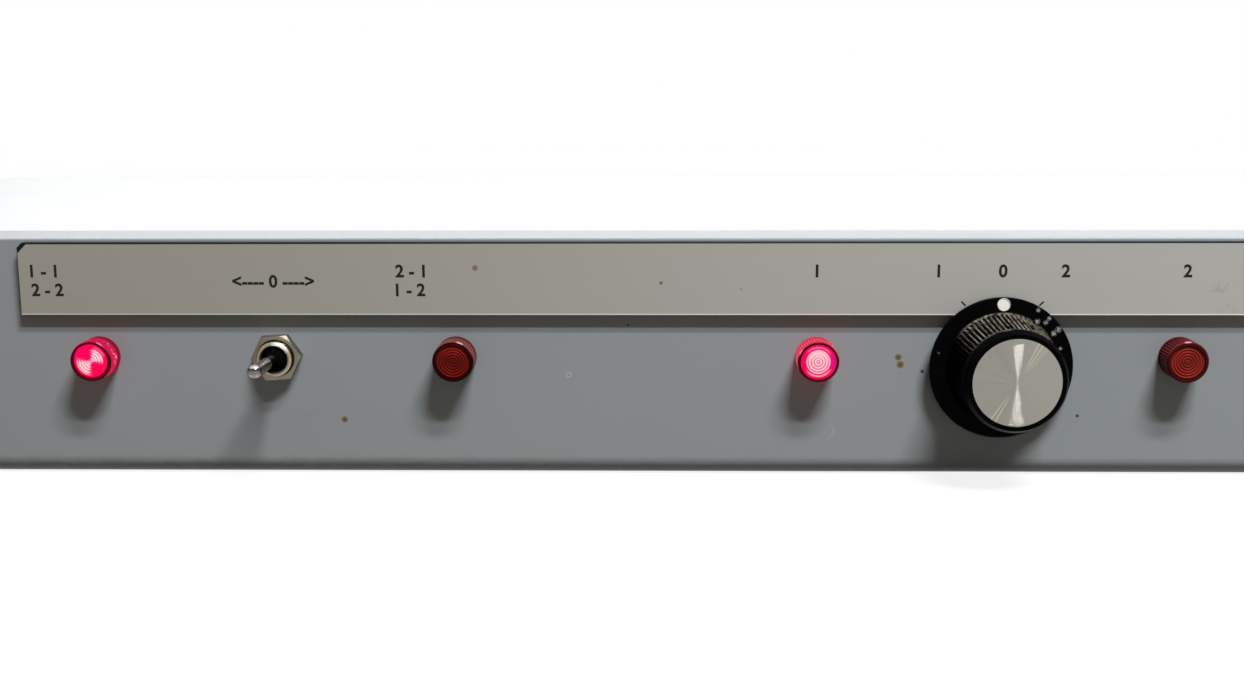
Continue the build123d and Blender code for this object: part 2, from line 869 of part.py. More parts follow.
def knob_body():
    """Skirted knob: fluted side, smooth crown, hollow underside and seat for the inlay."""
    crown = knob_height - knob_crown_drop
    root = knob_root_radius - knob_flute_depth
    top = knob_top_radius - knob_flute_depth
    skirt_inner_high = skirt_high + skirt_rise
    edge = knob_top_radius - knob_crown_inset
    knob = turned((
        (0, skirt_low), (skirt_radius - skirt_bevel, skirt_low), (skirt_radius, skirt_low + skirt_bevel),
        (skirt_radius, skirt_high - skirt_bevel), (skirt_radius - skirt_bevel, skirt_high),
        (knob_root_radius, skirt_inner_high), (root, skirt_inner_high), (top, knob_flute_top),
        (knob_top_radius, knob_flute_top), (knob_top_radius, crown), (edge, knob_height), (0, knob_height),
    ))
    knob += fluted(
        knob_flutes, knob_root_radius, knob_top_radius, knob_flute_depth, skirt_inner_high, knob_flute_top
    )
    knob -= rod(inlay_radius, knob_height - inlay_depth, knob_height + overrun)
    knob -= rod(knob_cavity_radius, skirt_low - overrun, knob_cavity_top)
    knob -= rod(insert_radius + seat_gap, skirt_low, insert_high)
    knob -= downwards(rod(grub_radius + slip_gap, 0, knob_root_radius))
    pointer_hole = rod(pointer_radius + seat_gap, skirt_high - pointer_depth, knob_flute_top)
    return knob - Pos(0, pointer_circle, 0) * pointer_hole


def knob_inlay():
    """Spun disc with a bevelled rim."""
    radius = inlay_radius - running_gap
    low = knob_height - inlay_depth
    high = knob_height + inlay_proud
    face = radius - inlay_bevel
    return turned(((0, low), (radius, low), (radius, high - inlay_bevel), (face, high), (0, high)))


def knob_pointer():
    high = skirt_high + pointer_proud
    low = skirt_high - pointer_depth
    flat = pointer_radius - pointer_proud
    return Pos(0, pointer_circle, 0) * turned((
        (0, low), (pointer_radius, low), (pointer_radius, skirt_high), (flat, high), (0, high),
    ))


def knob_insert():
    insert = ring(insert_radius, shaft_radius + seat_gap, insert_low, insert_high)
    return insert - downwards(rod(grub_radius + thread_gap, 0, insert_radius + overrun))


def knob_grub_screw():
    low = shaft_radius + seat_gap
    screw = rod(grub_radius, low, low + grub_length)
    screw -= hexagon(grub_socket_flats, low + grub_length - grub_socket_depth, low + grub_length + overrun)
    return downwards(screw)


# Boards inside


def standoff_places():
    """Places of the main board's standoffs, as shares of the board's half width and of its depth."""
    depth = board_rear - board_front
    return [
        (board_half * column, board_front + depth * row)
        for column in standoff_columns_share
        for row in standoff_rows_share
    ]


def header_places():
    first = -header_pitch * (header_pins - 1) / 2
    return [first + header_pitch * step for step in range(header_pins)]


def square_hole(x, y, size):
    half = size / 2 + lead_gap
    return block((x - half, x + half), (y - half, y + half), (-overrun, board_sheet + overrun))


def control_board():
    """Upright board that carries the switches' blades and the diodes' leads."""
    half = control_board_width / 2
    board = block((-half, half), (control_board_low, control_board_high), (control_back, control_front))
    frame = on_front(0, 0)
    board = frame * board
    hole_depth = Pos(0, 0, control_back)
    for lamp in lamp_frames():
        for x in (-led_lead_pitch / 2, led_lead_pitch / 2):
            board -= lamp * hole_depth * square_hole(x, 0, led_lead)
    for x, y in toggle_terminal_places():
        board -= on_front(toggle_x, row_height) * hole_depth * square_hole(x, y, blade_width)
    for x, y in rotary_terminal_places():
        board -= on_front(knob_x, knob_z) * hole_depth * square_hole(x, y, blade_width)
    for x in header_places():
        board -= frame * hole_depth * square_hole(x, header_height(), header_pin)
    return board


def header_height():
    return board_top + header_rise / 2


def header_depth():
    return board_front + header_body


def board_header():
    """Angled pins in one moulding: forwards through the control board, down through the main board."""
    half = header_pin / 2
    z = header_height()
    y = header_depth()
    body_half = header_pitch * header_pins / 2
    body_depths = (board_front, y + header_body / 2)
    moulding = block((-body_half, body_half), body_depths, (board_top, board_top + header_rise))
    pins = []
    for x in header_places():
        across = (x - half, x + half)
        pin = block(across, (control_board_gap - pin_tail, y + half), (z - half, z + half))
        pin += block(across, (y - half, y + half), (board_bottom - pin_tail, z))
        moulding -= pin
        pins.append(pin)
    return group([moulding] + pins)


def main_board():
    """Board on standoffs under the sockets, with a hole for each connector leg."""
    board = block((-board_half, board_half), (board_front, board_rear), (board_bottom, board_top))
    base = Pos(0, 0, board_bottom)
    for x in header_places():
        board -= base * square_hole(x, header_depth(), header_pin)
    for x, y, size in leg_places():
        board -= base * square_hole(x, y, size)
    for x, y in standoff_places():
        board -= rod(board_screw_radius + slip_gap, board_bottom - overrun, board_top + overrun, x, y)
    return board


def leg_places():
    """Every connector leg that goes down through the main board: x, y and its width."""
    legs = []
    for places, end in ((input_places, input_insert_end), (output_places, output_insert_end)):
        y = body_depth + end - contact_tail + contact_leg / 2
        legs += [(x + contact_x(angle), y, contact_leg) for x in places for angle in contact_angles]
    for column, row in remote_pin_places():
        legs.append((remote_x - column, body_depth + remote_leg_place(row), remote_leg))
    for x, _ in mains_blade_places():
        legs.append((inlet_x - x, body_depth - inlet_depth - mains_tail + mains_leg / 2, mains_leg))
    return legs


def board_standoffs():
    """Hexagonal standoffs clinched flush in the tray's floor."""
    one = hexagon(standoff_flats, floor_top, board_bottom) + rod(standoff_foot_radius, floor_low, floor_top)
    one -= rod(board_screw_radius + thread_gap, floor_top, board_bottom + overrun)
    return group([Pos(x, y, 0) * one for x, y in standoff_places()])


def board_screws():
    one = headed_screw(board_screw_radius, board_screw_length, board_head_radius, board_head_height)
    return group([Pos(x, y, board_top) * one for x, y in standoff_places()])


def on_board(x_share, y_share):
    """Place on the main board, as shares of the body's half width and of its depth."""
    return Pos(half_body * x_share, body_depth * y_share, board_top)


def mains_transformer():
    """Encapsulated transformer with the pot's rim round its top."""
    half_x = transformer_width / 2
    half_y = transformer_depth / 2
    body = block((-half_x, half_x), (-half_y, half_y), (0, transformer_height))
    body = fillet(body.edges().filter_by(Axis.Z), transformer_edge)
    inner_x = half_x - transformer_lip_width
    inner_y = half_y - transformer_lip_width
    rim = (transformer_height - transformer_lip, transformer_height + overrun)
    body -= block((-inner_x, inner_x), (-inner_y, inner_y), rim)
    return on_board(*transformer_place_share) * body


def relays():
    half_x = relay_width / 2
    half_y = relay_depth / 2
    one = block((-half_x, half_x), (-half_y, half_y), (0, relay_height))
    one = chamfer(one.edges().group_by(Axis.Z)[-1], relay_edge)
    return group([on_board(column, relay_row_share) * one for column in relay_columns_share])


def reservoir_capacitors():
    """Upright cans with the crimp groove above the seal."""
    waist = capacitor_radius - capacitor_groove
    low = capacitor_groove_height - capacitor_groove
    high = capacitor_groove_height + capacitor_groove
    one = turned((
        (0, 0), (capacitor_radius, 0), (capacitor_radius, low), (waist, capacitor_groove_height),
        (capacitor_radius, high), (capacitor_radius, capacitor_height - capacitor_groove),
        (waist, capacitor_height), (0, capacitor_height),
    ))
    return group([on_board(*place) * one for place in capacitor_places_share])


def voltage_regulator():
    """Power package: tab with its hole, moulded body and three leads into the board."""
    half = regulator_width / 2
    tab_heights = (regulator_stand, regulator_stand + regulator_tab_height)
    body_heights = (regulator_stand, regulator_stand + regulator_height)
    device = block((-half, half), (0, regulator_tab), tab_heights)
    device += block((-half, half), (-regulator_thickness, 0), body_heights)
    hole_height = regulator_stand + (regulator_height + regulator_tab_height) / 2
    device -= Pos(0, 0, hole_height) * Rot(90, 0, 0) * Cylinder(regulator_hole_radius, 2 * regulator_width)
    lead = regulator_lead / 2
    for step in (-1, 0, 1):
        x = step * regulator_lead_pitch
        y = -regulator_thickness / 2
        device += block((x - lead, x + lead), (y - lead, y + lead), (0, regulator_stand))
    return on_board(*heatsink_place_share) * Pos(0, -regulator_tab, 0) * device


def regulator_heatsink():
    """Extruded comb: a flat web for the regulator and fins behind it."""
    half = heatsink_width / 2
    sink = block((-half, half), (0, heatsink_web), (0, heatsink_height))
    pitch = heatsink_width / heatsink_fins
    fin = pitch * heatsink_fin_share
    for step in range(heatsink_fins):
        x = -half + (pitch - fin) / 2 + pitch * step
        sink += block((x, x + fin), (heatsink_web, heatsink_depth), (0, heatsink_height))
    return on_board(*heatsink_place_share) * sink


def board_chips():
    """Moulded packages on their two rows of legs."""
    half_x = chip_width / 2
    half_y = chip_depth / 2
    top = chip_stand + chip_height
    one = block((-half_x, half_x), (-half_y, half_y), (chip_stand, top))
    one -= rod(chip_notch_radius, top - chip_stand, top + overrun, -half_x)
    for side in (-1, 1):
        row = sorted((side * half_y, side * (half_y + chip_pin_width)))
        one += block((chip_pin_width - half_x, half_x - chip_pin_width), row, (0, top / 2))
    return group([on_board(*place) * one for place in chip_places_share])


# Audio sockets on the rear wall


def socket_screw_frames():
    """Frames of the screws of the sockets and of the inlet, on the wall's outer face."""
    frames = []
    for x in input_places + output_places:
        for side in (-1, 1):
            frames.append(on_rear(x, 0) * Pos(-side * socket_screw_x, side * socket_screw_z, 0))
    for side in (-1, 1):
        frames.append(on_rear(inlet_x, inlet_rise) * Pos(side * inlet_screw_pitch / 2, 0, 0))
    return frames


def connector_screws():
    one = headed_screw(socket_screw_radius, socket_screw_length, socket_head_radius, socket_head_height)
    heights = [socket_flange] * (2 * len(input_places + output_places)) + [inlet_flange] * 2
    return group([frame * Pos(0, 0, high) * one for frame, high in zip(socket_screw_frames(), heights)])


def socket_flange_plate():
    """Rectangular flange with two screw holes on a diagonal."""
    outline = RectangleRounded(socket_flange_width, socket_flange_height, socket_corner)
    plate = extrude(outline, socket_flange)
    hole = rod(screw_hole_radius, -overrun, socket_flange + overrun)
    for side in (-1, 1):
        plate -= Pos(-side * socket_screw_x, side * socket_screw_z, 0) * hole
    return plate


def contact_x(angle):
    """Sideways place of a contact; the same seen from either end."""
    return -contact_circle * cos(radians(angle))


def contact_y(angle):
    return contact_circle * sin(radians(angle))


def input_shell():
    """Die-cast shell of a female socket: flange, lipped mouth, barrel and the latch's slot."""
    shell = socket_flange_plate() + rod(socket_barrel_radius, -input_depth, 0)
    shell += rod(input_lip_radius, 0, socket_flange + input_lip)
    shell -= rod(input_bore_radius, input_back - input_depth, socket_flange + input_lip + overrun)
    shell -= rod(input_insert_radius + seat_gap, -input_depth - overrun, 0)
    half = latch_width / 2 + latch_slot_side
    front = socket_flange + input_lip + overrun
    shell -= block((-half, half), (input_insert_radius, latch_slot_high), (-latch_slot_depth, front))
    pin_half = latch_pin_length / 2 + running_gap
    return shell - cross_rod(latch_pin_radius + running_gap, pin_half, latch_height, latch_pivot)


def input_insert():
    """Insulator of a female socket with its three contact holes and key groove."""
    face = -input_insert_recess
    insert = rod(input_insert_radius, input_insert_end, face)
    insert = chamfer(insert.edges().group_by(Axis.Z)[-1], input_key_depth / 2)
    half = input_key_width / 2
    insert -= block(
        (-half, half), (input_insert_radius - input_key_depth, input_insert_radius + overrun),
        (input_back - input_depth, face + overrun),
    )
    hole = rod(contact_hole_radius, input_insert_end - overrun, face + overrun)
    for angle in contact_angles:
        insert -= Pos(contact_x(angle), contact_y(angle), 0) * hole
    return insert


def input_contact(angle):
    """Contact in the insert's hole, with its leg down through the main board."""
    x = contact_x(angle)
    y = contact_y(angle)
    face = -input_insert_recess - contact_recess
    rear = input_insert_end - contact_tail
    contact = rod(contact_hole_radius - seat_gap, rear, face, x, y)
    half = contact_leg / 2
    return contact + block((x - half, x + half), (board_bottom - pin_tail, y), (rear, rear + contact_leg))


def input_latch():
    """Sprung lever: thumb tab outside, hook inside, turning on its pin."""
    half = latch_width / 2
    thumb = latch_thumb_width / 2
    hook = latch_hook_width / 2
    low = latch_height - latch_sheet / 2
    high = latch_height + latch_sheet / 2
    inner = -latch_reach
    latch = block((-half, half), (low, high), (inner, latch_thumb_start))
    latch += block((-thumb, thumb), (low, high), (latch_thumb_start, latch_thumb_reach))
    ridge = (latch_thumb_reach - latch_ridge_depth, latch_thumb_reach)
    latch += block((-thumb, thumb), (high, high + latch_ridge), ridge)
    hook_end = inner + latch_hook_length
    ramp = Polyline((low, inner), (low - latch_hook_drop, inner), (low, hook_end), close=True)
    latch += extrude(Plane.YZ * make_face(ramp), hook, both=True)
    latch += cross_rod(latch_boss_radius, half, latch_height, latch_pivot)
    return latch + cross_rod(latch_pin_radius, latch_pin_length / 2, latch_height, latch_pivot)


def output_shell():
    """Die-cast shell of a male socket: flange, raised mouth, cup and the notch for the plug's latch."""
    shell = socket_flange_plate() + rod(socket_barrel_radius, -output_depth, 0)
    shell += rod(output_lip_radius, 0, socket_flange + output_lip)
    shell -= rod(output_cup_radius, output_back - output_depth, socket_flange + output_lip + overrun)
    shell -= rod(output_insert_radius + seat_gap, -output_depth - overrun, 0)
    half = output_notch_width / 2
    top = output_cup_radius + output_notch_depth
    return shell - block((-half, half), (0, top), (-output_notch_far, -output_notch_near))


def output_insert():
    """Insulating disc that holds the three pins of a male socket."""
    insert = rod(output_insert_radius, output_insert_end, output_back - output_depth)
    hole = rod(output_pin_radius + seat_gap, output_insert_end - overrun, 0)
    for angle in contact_angles:
        insert -= Pos(contact_x(angle), contact_y(angle), 0) * hole
    return insert


def output_pin(angle):
    """Round pin with a rounded tip, and its leg down through the main board."""
    x = contact_x(angle)
    y = contact_y(angle)
    rear = output_insert_end - contact_tail
    tip = -output_pin_recess
    pin = Pos(x, y, 0) * turned((
        (0, rear), (output_pin_radius, rear), (output_pin_radius, tip - output_pin_tip),
        (output_pin_radius - output_pin_tip, tip), (0, tip),
    ))
    half = contact_leg / 2
    return pin + block((x - half, x + half), (board_bottom - pin_tail, y), (rear, rear + contact_leg))


def socket_inserts():
    pieces = [on_rear(x, 0) * input_insert() for x in input_places]
    return group(pieces + [on_rear(x, 0) * output_insert() for x in output_places])


def socket_contacts():
    """Contacts of the female sockets and of the remote connector."""
    pieces = [on_rear(x, 0) * input_contact(angle) for x in input_places for angle in contact_angles]
    return group(pieces + remote_contacts())


def output_pins():
    return group([on_rear(x, 0) * output_pin(angle) for x in output_places for angle in contact_angles])


# Remote connector


def remote_outline(width, height):
    """D-shaped outline, its long side up."""
    outline = Trapezoid(width, height, remote_shell_slant, rotation=180)
    return fillet(outline.vertices(), remote_shell_corner)


def remote_pin_places():
    """Contacts in two rows: (x, row), the upper row one longer."""
    places = []
    for row, count in ((1, remote_pins), (-1, remote_pins - 1)):
        first = -remote_pin_pitch * (count - 1) / 2
        places += [(first + remote_pin_pitch * step, row) for step in range(count)]
    return places


def remote_leg_place(row):
    """How far in from the wall a row's legs go down; the upper row's legs are the farther."""
    return wall_inside - remote_flange - remote_body_depth - remote_leg * (2 + row)


def remote_shell():
    """Steel shell: flange inside the rear wall and shroud out through it."""
    flange = RectangleRounded(remote_flange_width, remote_flange_height, remote_flange_corner)
    shroud = remote_outline(remote_shell_width, remote_shell_height)
    shell = extrude(flange, -remote_flange) + extrude(shroud, remote_shell_reach - wall_inside)
    core = remote_outline(remote_shell_width - 2 * remote_wall, remote_shell_height - 2 * remote_wall)
    core_length = remote_flange + remote_shell_reach - wall_inside + 2 * overrun
    shell -= Pos(0, 0, -remote_flange - overrun) * extrude(core, core_length)
    for x in jack_places():
        shell -= rod(jack_stem_radius + thread_gap, -remote_flange - overrun, overrun, x)
    return on_rear(remote_x, remote_z) * Pos(0, 0, wall_inside) * shell


def remote_insert():
    """Moulded body behind the flange, and its face with the contact holes."""
    back = wall_inside - remote_flange
    body = block(
        (-remote_body_width / 2, remote_body_width / 2), (-remote_body_height / 2, remote_body_height / 2),
        (back - remote_body_depth, back),
    )
    width = remote_shell_width - 2 * remote_wall - 2 * seat_gap
    height = remote_shell_height - 2 * remote_wall - 2 * seat_gap
    face = remote_shell_reach - remote_face_drop
    body += Pos(0, 0, back) * extrude(remote_outline(width, height), face - back)
    for x, row in remote_pin_places():
        y = row * remote_row_pitch / 2
        body -= rod(remote_hole_radius, back - remote_body_depth - overrun, remote_shell_reach, x, y)
    return on_rear(remote_x, remote_z) * body


def remote_contacts():
    """Square contacts: out of the body's back and down through the main board."""
    half = remote_leg / 2
    contacts = []
    for x, row in remote_pin_places():
        y = row * remote_row_pitch / 2
        reach = remote_leg_place(row)
        across = (x - half, x + half)
        ahead = block(across, (y - half, y + half), (reach - half, remote_contact_face))
        down = block(across, (board_bottom - pin_tail - remote_z, y + half), (reach - half, reach + half))
        contacts.append(on_rear(remote_x, remote_z) * (ahead + down))
    return contacts


def jack_places():
    return (-jack_pitch / 2, jack_pitch / 2)


def jackposts():
    """Hexagonal posts that hold the remote connector to the wall and take its plug's screws."""
    one = hexagon(jack_flats, 0, jack_height) + rod(jack_stem_radius, -jack_stem_length, 0)
    one -= rod(jack_bore_radius, 0, jack_height + overrun)
    return group([on_rear(remote_x, remote_z) * Pos(x, 0, 0) * one for x in jack_places()])


# Mains inlet, fuse drawer and earth stud


def mains_blade_places():
    """Contact places from the inlet's middle: two low ones and the earth above them."""
    low = -inlet_cavity_drop - blade_offset
    return [(-blade_pitch, low), (blade_pitch, low), (0, -inlet_cavity_drop + blade_offset)]


def inlet_housing():
    """Flanged moulding with the socket's cavity below and the drawer's opening above."""
    flange = RectangleRounded(inlet_flange_width, inlet_flange_height, inlet_flange_corner)
    housing = extrude(flange, inlet_flange)
    half_x = inlet_body_width / 2
    half_y = inlet_body_height / 2
    housing += block((-half_x, half_x), (-half_y, half_y), (-inlet_depth, 0))
    cavity_x = inlet_cavity_width / 2
    cavity_y = inlet_cavity_height / 2
    cavity_depths = (inlet_flange - inlet_cavity_depth, inlet_flange + overrun)
    cavity = block((-cavity_x, cavity_x), (-cavity_y, cavity_y), cavity_depths)
    cavity = chamfer(cavity.edges().filter_by(Axis.Z).group_by(Axis.Y)[-1], inlet_cavity_corner)
    housing -= Pos(0, -inlet_cavity_drop, 0) * cavity
    half_x = drawer_opening_width / 2
    half_y = drawer_opening_height / 2
    drawer_depths = (inlet_flange - drawer_depth - sheet_gap, inlet_flange + overrun)
    housing -= Pos(0, drawer_rise, 0) * block((-half_x, half_x), (-half_y, half_y), drawer_depths)
    wide = mains_blade_width / 2 + seat_gap
    tall = mains_blade_height / 2 + seat_gap
    for x, y in mains_blade_places():
        housing -= block((x - wide, x + wide), (y - tall, y + tall), (-inlet_depth - overrun, 0))
    for side in (-1, 1):
        housing -= rod(screw_hole_radius, -overrun, inlet_flange + overrun, side * inlet_screw_pitch / 2)
    return on_rear(inlet_x, inlet_rise) * housing


def inlet_blades():
    """Three flat contacts, each with its leg down through the main board."""
    wide = mains_blade_width / 2
    tall = mains_blade_height / 2
    rear = -inlet_depth - mains_tail
    low = board_bottom - pin_tail - inlet_rise
    leg = mains_leg / 2
    floor = inlet_flange - inlet_cavity_depth
    blades = []
    for x, y in mains_blade_places():
        blade = block((x - wide, x + wide), (y - tall, y + tall), (rear, floor + mains_blade_reach))
        blade = chamfer(blade.edges().group_by(Axis.Z)[-1], mains_blade_bevel)
        blade += block((x - leg, x + leg), (low, y), (rear, rear + mains_leg))
        blades.append(on_rear(inlet_x, inlet_rise) * blade)
    return group(blades)


def fuse_drawer():
    """Drawer with its grip face and the trough that the fuse lies in."""
    half_x = drawer_width / 2
    half_y = drawer_height / 2
    back = inlet_flange - drawer_depth
    drawer = block((-half_x, half_x), (-half_y, half_y), (back, inlet_flange + drawer_face))
    drawer += block(
        (-drawer_face_width / 2, drawer_face_width / 2), (-drawer_face_height / 2, drawer_face_height / 2),
        (inlet_flange + slip_gap, inlet_flange + drawer_face),
    )
    grip = drawer_grip_width / 2
    drawer -= block(
        (-grip, grip), (-drawer_face_height, -drawer_face_height * drawer_grip_share),
        (inlet_flange + drawer_face - drawer_grip_depth, inlet_flange + drawer_face + overrun),
    )
    near = back + drawer_trough_inset
    trough = drawer_trough_length / 2
    heights = (drawer_trough_floor - half_y, half_y + overrun)
    drawer -= block((-trough, trough), heights, (near, near + drawer_trough_width))
    return on_rear(inlet_x, inlet_rise + drawer_rise) * drawer


def fuse_link():
    """Glass tube between two end caps."""
    z = inlet_flange - drawer_depth + drawer_trough_inset + drawer_trough_width / 2
    y = drawer_trough_floor - drawer_height / 2 + fuse_radius + seat_gap
    fuse = cross_rod(fuse_radius, fuse_length / 2, y, z)
    middle = fuse_length / 2 - fuse_cap
    fuse -= cross_rod(fuse_radius + overrun, middle, y, z) - cross_rod(fuse_glass_radius, middle, y, z)
    return on_rear(inlet_x, inlet_rise + drawer_rise) * fuse


def earth_post():
    """Stud through the rear wall with two nuts and a washer; a relief parts off its free thread."""
    bore = earth_radius + seat_gap
    one = nut(earth_nut_flats, 0, earth_nut_height, bore, earth_nut_bevel)
    relief_radius = earth_radius - earth_relief_depth
    relief_end = earth_relief_start + earth_relief_width
    tip_start = earth_reach - earth_bevel
    stud = turned((
        (0, -earth_root), (earth_radius, -earth_root), (earth_radius, earth_relief_start),
        (relief_radius, earth_relief_start), (relief_radius, relief_end), (earth_radius, relief_end),
        (earth_radius, tip_start), (earth_radius - earth_bevel, earth_reach), (0, earth_reach),
    ))
    pieces = [
        stud,
        ring(earth_washer_radius, bore, 0, earth_washer),
        Pos(0, 0, earth_washer) * one,
        Pos(0, 0, wall_inside - earth_nut_height) * one,
    ]
    return group([on_rear(earth_x, earth_z) * piece for piece in pieces])


def build():
    """Every node's shape by its name."""
    toggle = on_front(toggle_x, row_height)
    knob = on_front(knob_x, knob_z)
    nodes = {
        "front_panel": front_panel(),
        "panel_nuts": panel_nuts(),
        "chassis_tray": chassis_tray(),
        "top_cover": top_cover(),
        "cover_screws": cover_screws(),
        "label_strip": label_strip(),
        "lamp_leds": group([frame * lamp_led() for frame in lamp_frames()]),
        "lamp_clips": group([frame * lamp_clip() for frame in lamp_frames()]),
        "toggle_bushing": toggle * toggle_bushing(),
        "toggle_case": toggle * toggle_case(),
        "toggle_lever": toggle * toggle_lever(),
        "toggle_nuts": group([toggle * piece for piece in toggle_nuts()]),
        "panel_washers": group([
            toggle * toothed_washer(toggle_bushing_radius), knob * toothed_washer(rotary_bushing_radius)
        ]),
        "rotary_bushing": knob * rotary_bushing(),
        "rotary_case": knob * rotary_case(),
        "rotary_shaft": knob * rotary_shaft(),
        "rotary_nut": knob * rotary_nut(),
        "switch_terminals": switch_terminals(),
        "knob_body": knob * knob_body(),
        "knob_inlay": knob * knob_inlay(),
        "knob_pointer": knob * knob_pointer(),
        "knob_insert": knob * knob_insert(),
        "knob_grub_screw": knob * knob_grub_screw(),
        "control_board": control_board(),
        "board_header": board_header(),
        "main_board": main_board(),
        "board_standoffs": board_standoffs(),
        "board_screws": board_screws(),
        "mains_transformer": mains_transformer(),
        "relays": relays(),
        "reservoir_capacitors": reservoir_capacitors(),
        "voltage_regulator": voltage_regulator(),
        "regulator_heatsink": regulator_heatsink(),
        "board_chips": board_chips(),
        "socket_inserts": socket_inserts(),
        "socket_contacts": socket_contacts(),
        "output_pins": output_pins(),
        "connector_screws": connector_screws(),
        "remote_shell": remote_shell(),
        "remote_insert": remote_insert(),
        "jackposts": jackposts(),
        "inlet_housing": inlet_housing(),
        "inlet_blades": inlet_blades(),
        "fuse_drawer": fuse_drawer(),
        "fuse_link": fuse_link(),
        "earth_post": earth_post(),
    }
    lens = lamp_lens()
    for number, frame in enumerate(lamp_frames(), 1):
        nodes[f"lamp_lens_{number}"] = frame * lens
    shell = input_shell()
    latch = input_latch()
    for number, x in enumerate(input_places, 1):
        nodes[f"input_shell_{number}"] = on_rear(x, 0) * shell
        nodes[f"input_latch_{number}"] = on_rear(x, 0) * latch
    shell = output_shell()
    for number, x in enumerate(output_places, 1):
        nodes[f"output_shell_{number}"] = on_rear(x, 0) * shell
    return nodes


if __name__ == "__main__":
    os.makedirs("parts", exist_ok=True)
    for name, shape in build().items():
        export_step(shape, f"parts/{name}.step")
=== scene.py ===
import math

import bmesh
import bpy
from bpy.props import FloatProperty, FloatVectorProperty, PointerProperty
from mathutils import Matrix, Quaternion, Vector


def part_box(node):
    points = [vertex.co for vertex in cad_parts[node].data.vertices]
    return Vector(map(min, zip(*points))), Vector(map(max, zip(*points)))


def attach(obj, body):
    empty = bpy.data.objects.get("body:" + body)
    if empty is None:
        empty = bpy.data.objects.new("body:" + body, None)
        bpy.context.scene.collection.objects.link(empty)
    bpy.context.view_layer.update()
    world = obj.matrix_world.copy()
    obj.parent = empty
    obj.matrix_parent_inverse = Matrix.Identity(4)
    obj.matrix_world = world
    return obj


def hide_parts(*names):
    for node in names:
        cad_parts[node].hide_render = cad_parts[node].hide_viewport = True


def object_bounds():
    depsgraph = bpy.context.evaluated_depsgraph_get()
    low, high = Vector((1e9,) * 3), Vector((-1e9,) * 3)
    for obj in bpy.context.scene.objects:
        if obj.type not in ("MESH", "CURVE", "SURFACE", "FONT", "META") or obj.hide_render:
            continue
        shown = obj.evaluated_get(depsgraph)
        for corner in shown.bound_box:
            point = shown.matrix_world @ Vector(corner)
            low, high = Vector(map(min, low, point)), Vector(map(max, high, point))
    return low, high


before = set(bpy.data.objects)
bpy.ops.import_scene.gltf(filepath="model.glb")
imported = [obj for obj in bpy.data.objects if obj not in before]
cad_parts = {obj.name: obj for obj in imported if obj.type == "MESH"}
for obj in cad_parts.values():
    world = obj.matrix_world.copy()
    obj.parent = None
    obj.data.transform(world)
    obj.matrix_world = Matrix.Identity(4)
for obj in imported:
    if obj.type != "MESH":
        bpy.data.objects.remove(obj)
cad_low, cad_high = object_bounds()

bl_info = {
    "name": "Audio Switcher Finishes",
    "version": (1, 0, 0),
    "blender": (4, 5, 0),
    "location": "3D View > Sidebar > Switcher",
    "description": "Finishes, legends, screws and studio of a rack-mounted audio switcher",
    "category": "Object",
}

MM = 0.001
PER_METRE = 1000.0


# Places, in mm, in the frame of the CAD model: X right, Y back, Z up

def node_middle(name):
    """The middle of a CAD node's box, in mm."""
    low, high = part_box(name)
    return (low + high) * (PER_METRE / 2)


STRIP_LOW, STRIP_HIGH = (corner * PER_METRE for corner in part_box("label_strip"))
PANEL_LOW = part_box("front_panel")[0] * PER_METRE
LAMPS = ("lamp_lens_1", "lamp_lens_2", "lamp_lens_3", "lamp_lens_4")
KNOB_AXIS = node_middle("knob_body")
TOGGLE_AXIS = node_middle("toggle_nuts")


def linear(red, green, blue):
    """The linear colour of a tone given as 0 to 255 on a screen."""
    def level(value):
        share = value / 255
        return share / 12.92 if share <= 0.04045 else ((share + 0.055) / 1.055) ** 2.4
    return (level(red), level(green), level(blue))


def shade(colour, factor):
    """A colour made lighter or darker, as a shader socket wants it."""
    return (*(min(1.0, part * factor) for part in colour[:3]), 1.0)


def tint(red, green, blue):
    """The colour of a tone given as 0 to 255 on a screen, as a shader socket wants it."""
    return (*linear(red, green, blue), 1.0)


# Shader arithmetic

class Signal:
    """One shader socket. Arithmetic on it adds Math nodes."""

    def __init__(self, finish, socket):
        self.finish = finish
        self.socket = socket

    def sibling(self, output):
        """Another output of the same node."""
        return Signal(self.finish, self.socket.node.outputs[output])

    def __add__(self, other):
        return self.finish.maths("ADD", self, other)

    def __radd__(self, other):
        return self.finish.maths("ADD", other, self)

    def __sub__(self, other):
        return self.finish.maths("SUBTRACT", self, other)

    def __rsub__(self, other):
        return self.finish.maths("SUBTRACT", other, self)

    def __mul__(self, other):
        return self.finish.maths("MULTIPLY", self, other)

    def __rmul__(self, other):
        return self.finish.maths("MULTIPLY", other, self)

    def __abs__(self):
        return self.finish.maths("ABSOLUTE", self)


